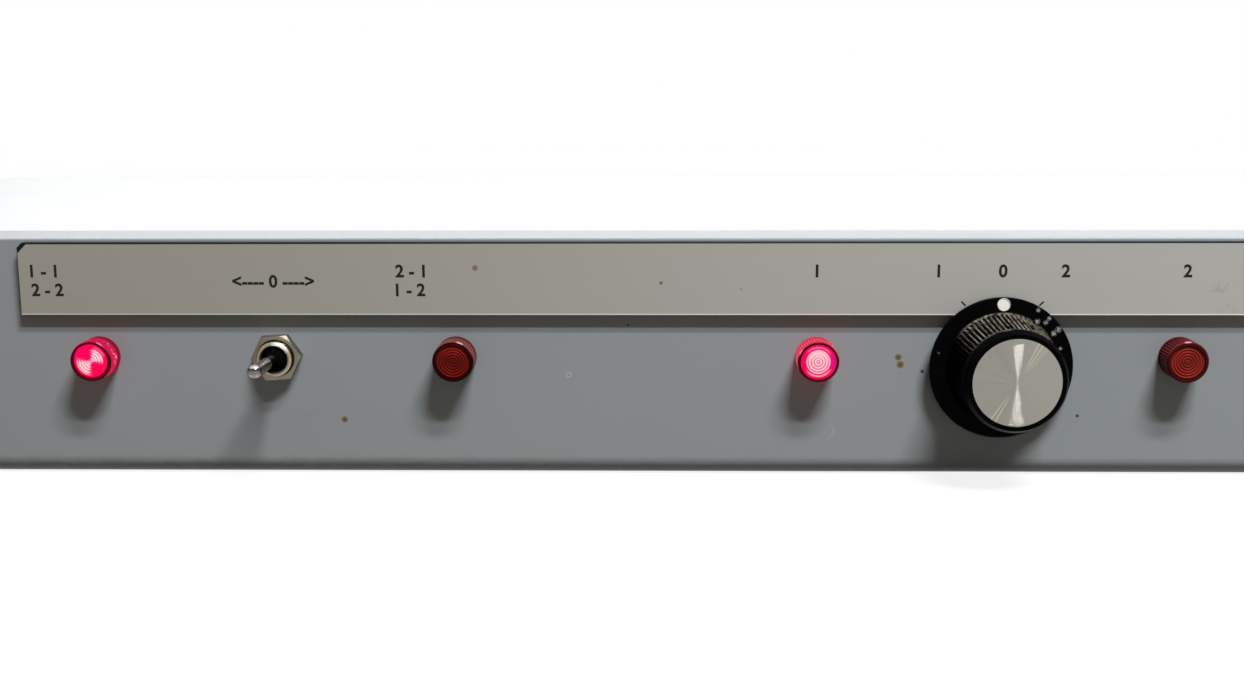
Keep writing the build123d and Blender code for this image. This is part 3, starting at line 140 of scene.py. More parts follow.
class Finish:
    """A procedural material on a Principled shader. Its lengths are in mm, in the object's own space."""

    def __init__(self, name, tree=None):
        if tree is None:
            self.material = bpy.data.materials.new(name)
            self.material.use_nodes = True
            tree = self.material.node_tree
        self.tree = tree

    def add(self, kind, settings=None, sockets=None, output=0):
        """Adds a node: its settings first, then the values or links of its sockets."""
        node = self.tree.nodes.new(kind)
        for name, value in (settings or {}).items():
            setattr(node, name, value)
        for name, value in (sockets or {}).items():
            self.feed(node.inputs[name], value)
        return Signal(self, node.outputs[output])

    def feed(self, socket, value):
        """Links a signal to a socket, or sets the socket's own value."""
        if isinstance(value, Signal):
            self.tree.links.new(value.socket, socket)
        else:
            socket.default_value = value

    def maths(self, operation, *values):
        return self.add("ShaderNodeMath", {"operation": operation}, dict(enumerate(values)))

    def vector(self, operation, *values, output=0):
        return self.add("ShaderNodeVectorMath", {"operation": operation}, dict(enumerate(values)), output)

    def scaled(self, vector, factor):
        """A vector or colour times a number or signal."""
        return self.add("ShaderNodeVectorMath", {"operation": "SCALE"}, {0: vector, 3: factor})

    def split(self, vector):
        """The three parts of a vector."""
        first = self.add("ShaderNodeSeparateXYZ", sockets={0: vector})
        return first, first.sibling(1), first.sibling(2)

    def most(self, *values):
        """The largest of several signals or numbers."""
        largest = values[0]
        for value in values[1:]:
            largest = self.maths("MAXIMUM", largest, value)
        return largest

    def place(self):
        """The point on the surface, in mm."""
        return self.scaled(self.add("ShaderNodeTexCoord", output=3), PER_METRE)

    def facing(self):
        """The surface's direction in the object's own space, in three parts."""
        return self.split(self.add("ShaderNodeTexCoord", output=1))

    def ramp(self, value, low, high):
        """0 at low, 1 at high, smooth between them."""
        return self.add("ShaderNodeMapRange", {"interpolation_type": "SMOOTHSTEP"},
                        {0: value, 1: low, 2: high})

    def band(self, value, middle, outer, inner):
        """1 within inner of a middle value, 0 beyond outer from it."""
        return self.ramp(abs(value - middle), outer, inner)

    def noise(self, pitch, detail=2.0, stretch=(1, 1, 1)):
        """Cloudy noise, 0 to 1, whose grain is about pitch mm, longer by stretch along each axis."""
        scales = tuple(1 / (pitch * part) for part in stretch)
        where = self.vector("MULTIPLY", self.place(), scales)
        return self.add("ShaderNodeTexNoise", {}, {"Vector": where, "Scale": 1.0, "Detail": detail})

    def mix(self, factor, first, second):
        """Goes from the first colour to the second as factor goes from 0 to 1."""
        return self.add("ShaderNodeMix", {"data_type": "RGBA"}, {0: factor, 6: first, 7: second}, 2)

    def coats(self, tone, *coats):
        """Lays coats, each a mask and a colour, one after another over a tone."""
        for mask, colour in coats:
            tone = self.mix(mask, tone, colour)
        return tone

    def reach(self, x, z):
        """The distance in mm from a line along Y through (x, z)."""
        offset = self.vector("MULTIPLY", self.vector("SUBTRACT", self.place(), (x, 0, z)), (1, 0, 1))
        return self.vector("LENGTH", offset, output=1)

    def bearing(self, x, z):
        """The angle round a line along Y through (x, z), from +X towards +Z."""
        along, _, up = self.split(self.vector("SUBTRACT", self.place(), (x, 0, z)))
        return self.maths("ARCTAN2", up, along)

    def side_of(self, x, z, degrees):
        """1 on the side of the line through (x, z) that a bearing points to, -1 on the other."""
        return self.maths("COSINE", self.bearing(x, z) - math.radians(degrees))

    def spot(self, x, z, radius, soft=0.3):
        """1 inside a round place on the front, 0 outside."""
        return self.ramp(self.reach(x, z), radius * (1 + soft), radius * (1 - soft))

    def relief(self, height, depth):
        """Raises the surface by up to depth mm where height goes from 0 to 1."""
        return self.add("ShaderNodeBump", {}, {"Distance": depth * MM, "Height": height})

    def surface(self, **sockets):
        """Sets the Principled shader's sockets, named in lower case with underscores."""
        shader = self.tree.nodes["Principled BSDF"]
        for name, value in sockets.items():
            title = SHADER_SOCKETS[name]
            if isinstance(value, tuple) and len(value) == 3 and title != "Normal":
                value = (*value, 1.0)
            self.feed(shader.inputs[title], value)
        return self.material


SHADER_SOCKETS = {
    "colour": "Base Color",
    "metal": "Metallic",
    "roughness": "Roughness",
    "normal": "Normal",
    "specular": "Specular IOR Level",
    "glow": "Emission Color",
    "glow_strength": "Emission Strength",
    "alpha": "Alpha",
}


def dress(material, *nodes):
    """Gives a material to every slot of these CAD nodes."""
    for name in nodes:
        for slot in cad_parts[name].material_slots:
            slot.material = material


# Finishes that several pieces share

DUST = tint(178, 173, 162)


def plated(name, colour, roughness=0.28, wear=0.12, grain=(1, 1, 1)):
    """Plated or turned metal with a clouded tone and fine scratches."""
    finish = Finish(name)
    cloud = finish.noise(2.2, 3.0)
    scratch = finish.noise(0.16, 2.0, grain)
    tone = finish.mix(cloud, shade(colour, 1 - wear), shade(colour, 1 + wear))
    stain = finish.ramp(finish.noise(0.9, 4.0), 0.60, 0.78)
    tone = finish.mix(stain * 0.35, tone, shade(colour, 0.45))
    return finish.surface(
        colour=tone, metal=1.0,
        roughness=roughness + (scratch - 0.5) * 0.22 + stain * 0.15,
        normal=finish.relief(scratch, 0.006),
    )


def moulded(name, colour, roughness=0.45, grain=0.35, specular=0.3, depth=0.008):
    """Moulded plastic with a fine eroded grain and a little dust."""
    finish = Finish(name)
    fine = finish.noise(grain, 2.0)
    cloud = finish.noise(6.0, 3.0)
    _, _, up = finish.facing()
    dust = finish.ramp(up, 0.2, 1.0) * finish.ramp(finish.noise(1.6, 4.0), 0.45, 0.75)
    tone = finish.mix(cloud, shade(colour, 0.85), shade(colour, 1.15))
    tone = finish.mix(dust * 0.10, tone, DUST)
    return finish.surface(
        colour=tone, roughness=roughness + (cloud - 0.5) * 0.14 + dust * 0.2, specular=specular,
        normal=finish.relief(fine, depth),
    )


def coated_sheet(name, colour, peel=1.6, depth=0.012):
    """Stoved paint on sheet metal: clouded tone, orange peel and a few scuffs."""
    finish = Finish(name)
    cloud = finish.noise(38.0, 3.0)
    fine = finish.noise(0.5, 2.0)
    scuff = finish.ramp(finish.noise(3.0, 5.0, (14, 1, 1)), 0.66, 0.74)
    tone = finish.mix(cloud, shade(colour, 0.965), shade(colour, 1.035))
    tone = finish.mix((fine - 0.5) * 0.08 + scuff * 0.12, tone, shade(colour, 0.72))
    return finish, tone, scuff, finish.relief(finish.noise(peel, 2.0), depth)


# The front panel

PANEL_MARKS = (
    ("rust", -53.4, -11.5, 0.58), ("rust", 47.5, 0.2, 0.60), ("rust", 47.9, -1.15, 0.66),
    ("speck", 51.9, -2.4, 0.32), ("speck", 80.2, -10.6, 0.30), ("speck", -1.4, 6.1, 0.20),
    ("dimple", -12.2, -3.1, 0.50),
)
MARK_TONES = {"rust": tint(112, 90, 42), "speck": tint(16, 16, 18), "dimple": tint(170, 174, 172)}
CRESCENT_DISCS = ((34.8, -13.5, 1.5, 0.1), (36.6, -13.9, 2.6, 0.06), (33.9, -13.3, 1.9, 0.04))
# Heights between which the panel darkens towards its foot
FOOT_DARKENING_TOP, FOOT_DARKENING_BASE = PANEL_LOW.z + 4.6, PANEL_LOW.z + 0.4


def panel_paint(settings):
    """Grey-blue stoved paint with small marks, a faint crescent and a brownish darkening towards its foot,
    strongest at the left.
    """
    finish, tone, scuff, normal = coated_sheet("panel paint", settings.paint)
    _, towards, _ = finish.facing()
    front = finish.ramp(towards, -0.6, -0.9)
    marks = 0.0
    for kind, x, z, radius in PANEL_MARKS:
        mark = finish.spot(x, z, radius, 0.25) * front
        core = finish.spot(x, z, radius * 0.55, 0.5) * mark
        tone = finish.mix(mark * 0.9, tone, MARK_TONES[kind])
        if kind == "rust":
            tone = finish.mix(core * 0.6, tone, tint(58, 42, 22))
        elif kind == "dimple":
            tone = finish.mix(core, tone, shade(settings.paint, 0.85))
        marks = finish.most(marks, mark)
    x, _, z = finish.split(finish.place())
    # Darker and browner towards the panel's foot, fading out to the right, with a mottle
    brownish_mottle = finish.ramp(z, FOOT_DARKENING_TOP, FOOT_DARKENING_BASE) * finish.ramp(x, 120.0, -90.0)
    brownish_mottle = brownish_mottle * (0.06 + finish.ramp(finish.noise(0.9, 5.0, (3, 1, 1)), 0.34, 0.62) * 0.3)
    held, crossed, bitten = (finish.spot(*disc) for disc in CRESCENT_DISCS)
    crescent = held * crossed * finish.ramp(bitten, 1.0, 0.0) * front
    tone = finish.coats(tone, (brownish_mottle, tint(84, 74, 60)), (crescent * 0.5, shade(settings.paint, 1.25)))
    return finish.surface(
        colour=tone, roughness=settings.paint_roughness + scuff * 0.12 + marks * 0.2,
        specular=0.28, normal=normal,
    )


def case_paint(settings):
    """Pale textured paint of the tray and the cover."""
    finish, tone, scuff, normal = coated_sheet("case paint", settings.case, 0.9, 0.02)
    return finish.surface(
        colour=tone, roughness=0.48 + scuff * 0.12 + (finish.noise(0.9, 2.0) - 0.5) * 0.1,
        specular=0.3, normal=normal,
    )


# The label strip

STRIP_LEFT_TONE = tint(149, 146, 137)
STRIP_CORNER = STRIP_HIGH.x + STRIP_HIGH.z - 1.95
STRIP_SPECKS = ((4.6, 14.0, 0.30, 0.8), (18.9, 12.9, 0.16, 0.6))
STRIP_RUST = (-28.7, 16.7, 0.5, 0.4)
STRIP_STAIN = (105.0, 11.6, 2.6, 0.6)


def strip_laminate(settings):
    """A brushed silver face on a black core, which shows along the cut edges, with a thin painted highlight
    along the bottom edge.
    """
    finish = Finish("strip laminate")
    x, _, z = finish.split(finish.place())
    _, towards, _ = finish.facing()
    sideways = abs(x)
    wide = finish.ramp(x, STRIP_HIGH.x * 0.2, STRIP_LOW.x) * 0.5 + 1.0
    inset = wide * (settings.edge_inset * PER_METRE)
    top = finish.ramp(STRIP_HIGH.z - z - inset, -0.06, 0.06)
    corner = finish.ramp(sideways + z, STRIP_CORNER + 0.1, STRIP_CORNER - 0.1)
    end = finish.ramp(sideways, STRIP_HIGH.x - 0.05, STRIP_HIGH.x - 0.12)
    silver = finish.ramp(towards, -0.7, -0.95) * top * corner * end
    streak = finish.noise(0.22, 3.0, (90, 1, 1))
    hair = finish.noise(0.09, 1.0, (160, 1, 1))
    cloud = finish.noise(26.0, 3.0)
    side = finish.ramp(x, STRIP_LOW.x, STRIP_HIGH.x)
    brushed = (streak - 0.5) * 0.22 + (hair - 0.5) * 0.12 + (cloud - 0.5) * 0.14
    # A thin painted highlight along the face's bottom edge
    line = finish.ramp(z, STRIP_LOW.z + 0.28, STRIP_LOW.z + 0.20)
    tone = finish.coats(
        finish.mix(side, STRIP_LEFT_TONE, shade(settings.face, 1.0)),
        (brushed, shade(settings.face, 0.6)),
        (line * (0.5 + side * 0.5), shade(settings.face, 1.7)),
    )
    for mark_x, mark_z, radius, depth in STRIP_SPECKS:
        tone = finish.mix(finish.spot(mark_x, mark_z, radius) * depth, tone, tint(70, 66, 52))
    stain = finish.spot(*STRIP_STAIN) * finish.ramp(finish.noise(1.3, 3.0), 0.5, 0.68)
    tone = finish.coats(
        tone, (finish.spot(*STRIP_RUST) * 0.75, tint(112, 76, 40)), (stain * 0.3, tint(120, 108, 84)))
    return finish.surface(
        colour=finish.mix(silver, shade(settings.core, 1.0), tone), metal=silver * 0.25,
        roughness=0.55 - silver * 0.08 + (streak - 0.5) * 0.14, specular=0.12,
        normal=finish.relief(hair, 0.0025),
    )


def legend_ink(settings):
    """The black core of the laminate as the legends show it, slightly rough."""
    finish = Finish("legend ink")
    cut = finish.noise(0.12, 2.0)
    tone = finish.mix(cut, shade(settings.core, 0.7), shade(settings.core, 1.4))
    return finish.surface(
        colour=tone, roughness=0.5 + cut * 0.2, specular=0.2, normal=finish.relief(cut, 0.006))


# The lamps

LENS_RING_PITCH = 0.513
LENS_FLUTES = 44
LENS_SHAPES = {  # width of the dark rim and how far the face sits above the middle, in mm
    "lamp_lens_1": (0.66, 0.10), "lamp_lens_2": (0.66, 0.10),
    "lamp_lens_3": (0.56, 0.00), "lamp_lens_4": (0.68, 0.06),
}
# Each unlit lamp's face, side and rim colours, how deep its rings show, the bearing in degrees of the
# painted highlight on its rim's edge, and how much its face is painted brighter at the top as painted light.
# The second lamp's greyer side is partly a painted sheen.
DARK_LENSES = {
    "lamp_lens_2": {"face": tint(94, 18, 13), "side": tint(116, 64, 62), "rim": tint(34, 2, 3),
                    "ring": 0.05, "painted_rim_glint": 69, "top": 1.0},
    "lamp_lens_4": {"face": tint(126, 36, 28), "side": tint(104, 34, 38), "rim": tint(58, 16, 16),
                    "ring": 0.55, "painted_rim_glint": 93, "top": 0.0},
}
# Each lit lamp's side and rib glow, the bearing in degrees of the painted highlight on its rim's edge, and
# how strongly the side glows darker near the panel
LIT_LENSES = {
    "lamp_lens_1": {"side": tint(232, 20, 96), "rib": tint(186, 10, 62), "painted_rim_glint": 62, "fringe": 0.9},
    "lamp_lens_3": {"side": tint(242, 84, 112), "rib": tint(196, 34, 66), "painted_rim_glint": 150, "fringe": 0.1},
}


class LensZones:
    """Where a lens has its ringed face, dark rim and fluted side, as signals."""

    def __init__(self, finish, name):
        low, high = (corner * PER_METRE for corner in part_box(name))
        middle = (low + high) / 2
        outer = (high.x - low.x) / 2
        rim_width, rise = LENS_SHAPES[name]
        inner = outer - rim_width
        _, y, _ = finish.split(finish.place())
        self.finish = finish
        self.depth = y - low.y
        self.radius = finish.reach(middle.x, middle.z)
        self.bearing = finish.bearing(middle.x, middle.z)
        above = finish.maths("SINE", self.bearing)
        self.height = above * self.radius
        window = finish.reach(middle.x, middle.z + rise)
        self.face = finish.ramp(window, inner + 0.05, inner - 0.05) * finish.ramp(self.depth, 1.0, 0.6)
        edge = finish.ramp(self.radius, outer - 0.2, outer - 0.1)
        lit_edge = edge * finish.ramp(above, 0.1, 0.6)
        self.rim = finish.ramp(self.depth, 0.42, 0.26) * (1 - self.face) * (1 - lit_edge)
        self.edge = edge * finish.ramp(self.depth, 0.5, 0.3)
        self.ring = finish.maths("COSINE", self.radius * (2 * math.pi / LENS_RING_PITCH)) * 0.5 + 0.5
        self.rib = finish.maths("COSINE", self.bearing * LENS_FLUTES) * 0.5 + 0.5
        self.fringe = finish.ramp(self.depth, 3.3, 4.2)

    def arc(self, bearing, half_width):
        """1 round a bearing, given in degrees."""
        swing = self.finish.maths("COSINE", self.bearing - math.radians(bearing))
        outer, inner = (math.cos(math.radians(half_width * share)) for share in (1.0, 0.4))
        return self.finish.ramp(swing, outer, inner)

    def painted_rim_glint(self, bearing):
        """A painted highlight: the pale glint on the rim's edge."""
        return self.arc(bearing, 11) * self.edge * 0.9


def dark_lens(name):
    """An unlit lamp: dull red face with thin rings, nearly black rim and fluted side. Painted light: the
    second lamp's face is brighter at the top and its side greyer, partly for a sheen; the side is painted
    darker where it meets the panel, and a highlight is painted on the rim's edge.
    """
    finish = Finish(name.replace("lamp_lens", "dark lens"))
    zone = LensZones(finish, name)
    look = DARK_LENSES[name]
    red, side = look["face"], look["side"]
    mottle = finish.noise(0.5, 4.0)
    # The face; where the lamp's top share is set, its top is painted brighter as painted light
    face = finish.coats(
        finish.mix(finish.ramp(zone.radius, 0.4, 2.9), shade(red, 0.86), shade(red, 1.2)),
        (finish.ramp(zone.ring, 0.55, 0.95) * look["ring"], shade(red, 0.42)),
        ((mottle - 0.5) * 0.4, shade(red, 1.6)),
        (finish.ramp(zone.height, 0.4, 2.2) * look["top"], shade(red, 1.75)),
    )
    flank = finish.mix(zone.rib * 0.55 + (mottle - 0.5) * 0.7, shade(side, 0.72), shade(side, 1.35))
    # The side with painted shade where it meets the panel, then the face, the rim and a painted highlight on
    # the rim's edge
    colour = finish.coats(
        flank, (zone.fringe * 0.6, tint(70, 14, 18)), (zone.face, face), (zone.rim, look["rim"]),
        (zone.painted_rim_glint(look["painted_rim_glint"]), tint(204, 166, 166)),
    )
    return finish.surface(
        colour=colour, roughness=0.2 + mottle * 0.12 + (1 - zone.face) * 0.15, specular=0.03,
        normal=finish.relief(mottle, 0.01),
    )


def crossed_face(finish, zone, settings):
    """The first lamp's face: where its pale rings show, how pale the face is, and its plain colour."""
    turned = finish.maths("COSINE", zone.bearing - math.radians(38))
    span = 2.5 - finish.ramp(turned, -0.3, 0.5) * 0.35
    petal = finish.ramp(abs(turned), 0.5, 0.9) * finish.ramp(zone.radius - span, 0.25, -0.1)
    arcs = finish.ramp(zone.ring + petal * 1.3, 1.15, 1.85)
    pale = finish.most(petal, finish.ramp(zone.radius, 0.6, 0.2))
    glint = zone.arc(48, 34) * finish.band(zone.radius, 2.55, 0.3, 0.1)
    plain = finish.coats(
        tint(255, 0, 80), (finish.ramp(zone.height, -2.0, 2.0), shade(settings.glow, 1.0)),
        (glint * 0.5, tint(255, 110, 168)),
    )
    return arcs, pale, plain


def ringed_face(finish, zone, settings, mottle):
    """The third lamp's face, in the same three parts: a pale ringed disc with a rosy surround."""
    upper = finish.ramp(zone.height, -0.5, 1.7)
    arcs = finish.most(finish.ramp(zone.ring, 0.25, 0.8), upper * (0.75 + (mottle - 0.5) * 0.5))
    pale = finish.ramp(zone.radius, 2.26, 1.96)
    halo = finish.band(zone.radius, 2.6, 0.22, 0.08) * zone.arc(85, 60)
    gleam = finish.band(zone.radius, 2.56, 0.24, 0.1) * zone.arc(-88, 64)
    plain = finish.coats(
        shade(settings.glow, 0.95), (zone.arc(0, 50), tint(234, 8, 116)),
        (halo * 0.8, tint(255, 112, 184)), (finish.ramp(zone.height, -2.5, -3.2), tint(214, 6, 72)),
        (gleam * 0.6, shade(settings.rings, 0.85)),
    )
    return arcs, pale, plain


def lit_lens(name, settings):
    """A lit lamp: a rose face with pale rings, a dark rim and a glowing fluted side."""
    finish = Finish(name.replace("lamp_lens", "lit lens"))
    zone = LensZones(finish, name)
    look = LIT_LENSES[name]
    mottle = finish.noise(0.45, 4.0)
    if name == "lamp_lens_1":
        arcs, pale, plain = crossed_face(finish, zone, settings)
    else:
        arcs, pale, plain = ringed_face(finish, zone, settings, mottle)
    between = finish.mix(0.5 + (mottle - 0.5) * 0.5, tint(224, 84, 136), tint(240, 128, 168))
    face = finish.mix(pale, plain, finish.mix(arcs, between, shade(settings.rings, 1.0)))
    spark = finish.ramp(mottle, 0.56, 0.64) * zone.arc(22, 44) * finish.ramp(zone.depth, 1.8, 2.4)
    # The lamp's glow, ending with a painted highlight on the rim's edge
    glow = finish.coats(
        look["rib"], (zone.rib * 0.6 + (mottle - 0.5) * 0.9, look["side"]),
        (spark * finish.ramp(zone.depth, 4.0, 3.4), tint(255, 176, 206)),
        (zone.fringe * look["fringe"], tint(122, 14, 36)), (zone.face, face), (zone.rim, tint(66, 2, 8)),
        (zone.painted_rim_glint(look["painted_rim_glint"]), tint(240, 120, 150)),
    )
    return finish.surface(
        colour=linear(30, 1, 6), roughness=0.2 + mottle * 0.1, specular=0.03,
        glow=glow, glow_strength=1.0, normal=finish.relief(mottle, 0.01),
    )


# The toggle switch

NUT_SEAM_RADIUS = 3.3
BUSHING_BORE_RADIUS = 2.33
NECK_BACK, NECK_FRONT = -9.0, -10.2
NECK_GLEAM = (-5.6, -6.6)


def nut_nickel(colour, axis):
    """Dull nickel of the toggle's nuts, with a painted highlight on the upper right corner, painted shade on
    the left side and a painted shade line in the gap to the bushing.
    """
    finish = Finish("nut nickel")
    radius = finish.reach(axis.x, axis.z)
    _, towards, _ = finish.facing()
    cloud = finish.noise(1.1, 3.0)
    scratch = finish.noise(0.16, 2.0)
    # Painted light by bearing round the axis: a highlight on the upper right corner, shade on the left side
    painted_highlight = finish.ramp(finish.side_of(axis.x, axis.z, 50), 0.80, 0.99) * finish.ramp(radius, 3.6, 4.3)
    dull = finish.ramp(finish.side_of(axis.x, axis.z, 175), 0.2, 0.9)
    # Painted shade in the gap between the nut and the bushing
    seam = finish.band(radius, NUT_SEAM_RADIUS, 0.1, 0.03) * finish.ramp(towards, -0.3, -0.6)
    tone = finish.coats(
        shade(colour, 0.84), (cloud, shade(colour, 1.28)), (dull * 0.6, shade(colour, 0.5)),
        (painted_highlight * 0.15, tint(214, 208, 200)), (seam * 0.8, tint(60, 42, 32)),
    )
    return finish.surface(
        colour=tone, metal=1.0, roughness=0.28 + (scratch - 0.5) * 0.22 + dull * 0.08,
        normal=finish.relief(scratch, 0.006),
    )


def bushing_nickel(colour, axis):
    """Turned nickel of the bushing, with a painted highlight at the upper right; its bore is painted nearly
    black as painted shade.
    """
    finish = Finish("bushing nickel")
    reach = finish.reach(axis.x, axis.z)
    # Painted shade inside the bore
    dark = finish.ramp(reach, BUSHING_BORE_RADIUS + 0.10, BUSHING_BORE_RADIUS + 0.02)
    # A painted highlight at the upper right
    painted_highlight = finish.ramp(finish.side_of(axis.x, axis.z, 62), 0.75, 0.97)
    turned = finish.noise(0.12, 2.0, (1, 8, 1))
    tone = finish.coats(
        shade(colour, 0.95), (finish.noise(1.1, 3.0), shade(colour, 1.35)),
        (painted_highlight * 0.95, tint(250, 246, 236)), (finish.ramp(reach, 2.75, 2.9) * 0.4, tint(206, 186, 160)),
        (dark, tint(24, 23, 21)),
    )
    return finish.surface(
        colour=tone, metal=1 - dark, roughness=0.24 + (turned - 0.5) * 0.2 + dark * 0.3,
        specular=0.0, normal=finish.relief(turned, 0.004),
    )


def lever_nickel(colour):
    """Nickel of the lever, painted in bands of light and shade by how it faces up, with a neck coloured near
    black.
    """
    finish = Finish("lever nickel")
    _, y, _ = finish.split(finish.place())
    _, _, up = finish.facing()
    neck = finish.ramp(y, NECK_FRONT, NECK_BACK)
    grease = finish.ramp(finish.noise(0.6, 3.0), 0.4, 0.7)
    scratch = finish.noise(0.08, 2.0, (1, 10, 1))
    gleam = neck * finish.ramp(up, 0.6, 0.9) * finish.ramp(y, *NECK_GLEAM)
    # Painted light and shade by how the surface faces up: dark underneath, light low on the sides, dark
    # above the middle and a bright painted highlight on top; the neck is coloured near black, with a faint
    # painted gleam
    tone = finish.coats(
        shade(colour, 0.5), (finish.ramp(up, -0.95, -0.5), shade(colour, 2.0)),
        (finish.ramp(up, -0.6, -0.1), shade(colour, 0.98)),
        (finish.ramp(up, 0.05, 0.35), shade(colour, 0.22)),
        (finish.ramp(up, 0.5, 0.62), shade(colour, 3.3)), (grease * 0.4, shade(colour, 0.7)),
        (neck, tint(9, 8, 8)), (gleam * 0.12, shade(colour, 1.1)),
    )
    return finish.surface(
        colour=tone, metal=1 - neck, roughness=0.2 + grease * 0.12 + neck * 0.2,
        specular=0.0, normal=finish.relief(scratch, 0.003),
    )


# The knob, whose places are in mm forward of the panel's face and from the knob's axis

FLUTE_CREST, FLUTE_TAPER = 9.9, 0.089
FLUTE_BACK, FLUTE_FRONT = 3.1, 13.3
CROWN_FORWARD = 13.75
SKIRT_FORWARD = 4.9
SKIRT_SPECKS = (
    (71.6, 9.3, 0.24), (71.5, 7.3, 0.30), (73.0, 7.1, 0.26), (73.6, 7.8, 0.24), (75.3, 5.8, 0.34),
    (74.5, 5.1, 0.32), (75.8, 2.4, 0.20), (62.4, 8.2, 0.18), (60.6, 7.3, 0.14), (54.2, 1.6, 0.13),
)
# A painted shadow of the knob's rim on the top of the inlay: beyond this circle the rings are kept shallow,
# so the lamps' reflection does not show there
RIM_SHADOW_MIDDLE = (KNOB_AXIS.x - 0.3, KNOB_AXIS.z - 0.95)
RIM_SHADOW_RADIUS = 7.75
GROOVE_FINENESS = 4000.0
SHALLOW_SLOPE = 0.18
# Bearing, half width in degrees and strength of each painted reflection ray on the inlay
PAINTED_INLAY_SHEEN = ((64, 1.5, 0.55), (58.5, 1.7, 0.5), (52, 4.0, 0.2), (235.5, 1.6, 0.5), (242, 1.4, 0.55))


def knob_plastic(settings):
    """Gloss black plastic, with dust on the ridges that face up, pale specks on the skirt and a painted
    highlight along the top of the crown.
    """
    finish = Finish("knob plastic")
    axis = KNOB_AXIS
    _, y, _ = finish.split(finish.place())
    _, towards, up = finish.facing()
    along, _, rise = finish.split(finish.vector("SUBTRACT", finish.place(), (axis.x, 0, axis.z)))
    radius = finish.reach(axis.x, axis.z)
    forward = PANEL_LOW.y - y
    proud = radius - (FLUTE_CREST - (forward - FLUTE_BACK) * FLUTE_TAPER)
    fluted = finish.ramp(forward, FLUTE_FRONT + 0.2, FLUTE_FRONT - 0.2)
    fluted = fluted * finish.ramp(forward, FLUTE_BACK - 0.2, FLUTE_BACK + 0.1)
    fluted = fluted * finish.ramp(radius, 8.2, 8.5)
    below = finish.ramp(proud, 0.3, 0.15)
    ridge = finish.ramp(proud, -0.24, -0.08) * below
    streak = finish.ramp(finish.noise(0.5, 4.0, (1, 4, 1)), 0.3, 0.6)
    settled = finish.ramp(forward, 6.5, 3.2) * finish.ramp(up, 0.8, 0.98) * below
    worn = finish.ramp(along, -8.6, -4.8) * (1 - finish.ramp(along, 1.0, 6.0) * 0.66)
    dust = fluted * finish.most(ridge, settled * 0.8) * finish.ramp(rise, 2.6, 6.4) * streak * worn
    brownish_mottle = finish.ramp(finish.noise(1.4, 2.0), 0.4, 0.65)
    pale = finish.mix(brownish_mottle, shade(DUST, 0.82), tint(150, 143, 122))
    # A painted highlight: a thin pale line along the top of the crown
    crown = finish.band(forward, CROWN_FORWARD, 0.3, 0.1) * finish.ramp(rise, 4.0, 7.5) * streak
    speck = 0.0
    for x, z, size in SKIRT_SPECKS:
        speck = finish.most(speck, finish.spot(x, z, size * 1.15, 0.9))
    skirt = finish.ramp(forward, SKIRT_FORWARD + 0.3, SKIRT_FORWARD - 0.3)
    skirt = skirt * finish.ramp(towards, -0.2, -0.5)
    speck = speck * skirt * finish.ramp(finish.noise(0.3, 3.0), 0.38, 0.52)
    film = finish.ramp(finish.noise(2.4, 4.0), 0.5, 0.8)
    tone = finish.coats(
        shade(settings.knob, 1.0), (film * 0.003, DUST), (dust * 0.85, pale),
        (crown * 0.5, tint(128, 124, 136)), (speck * 0.7, tint(184, 184, 184)),
    )
    return finish.surface(
        colour=tone, roughness=0.22 + film * 0.14 + dust * 0.5 + speck * 0.3, specular=0.015,
        normal=finish.relief(finish.noise(0.3, 3.0), 0.006),
    )


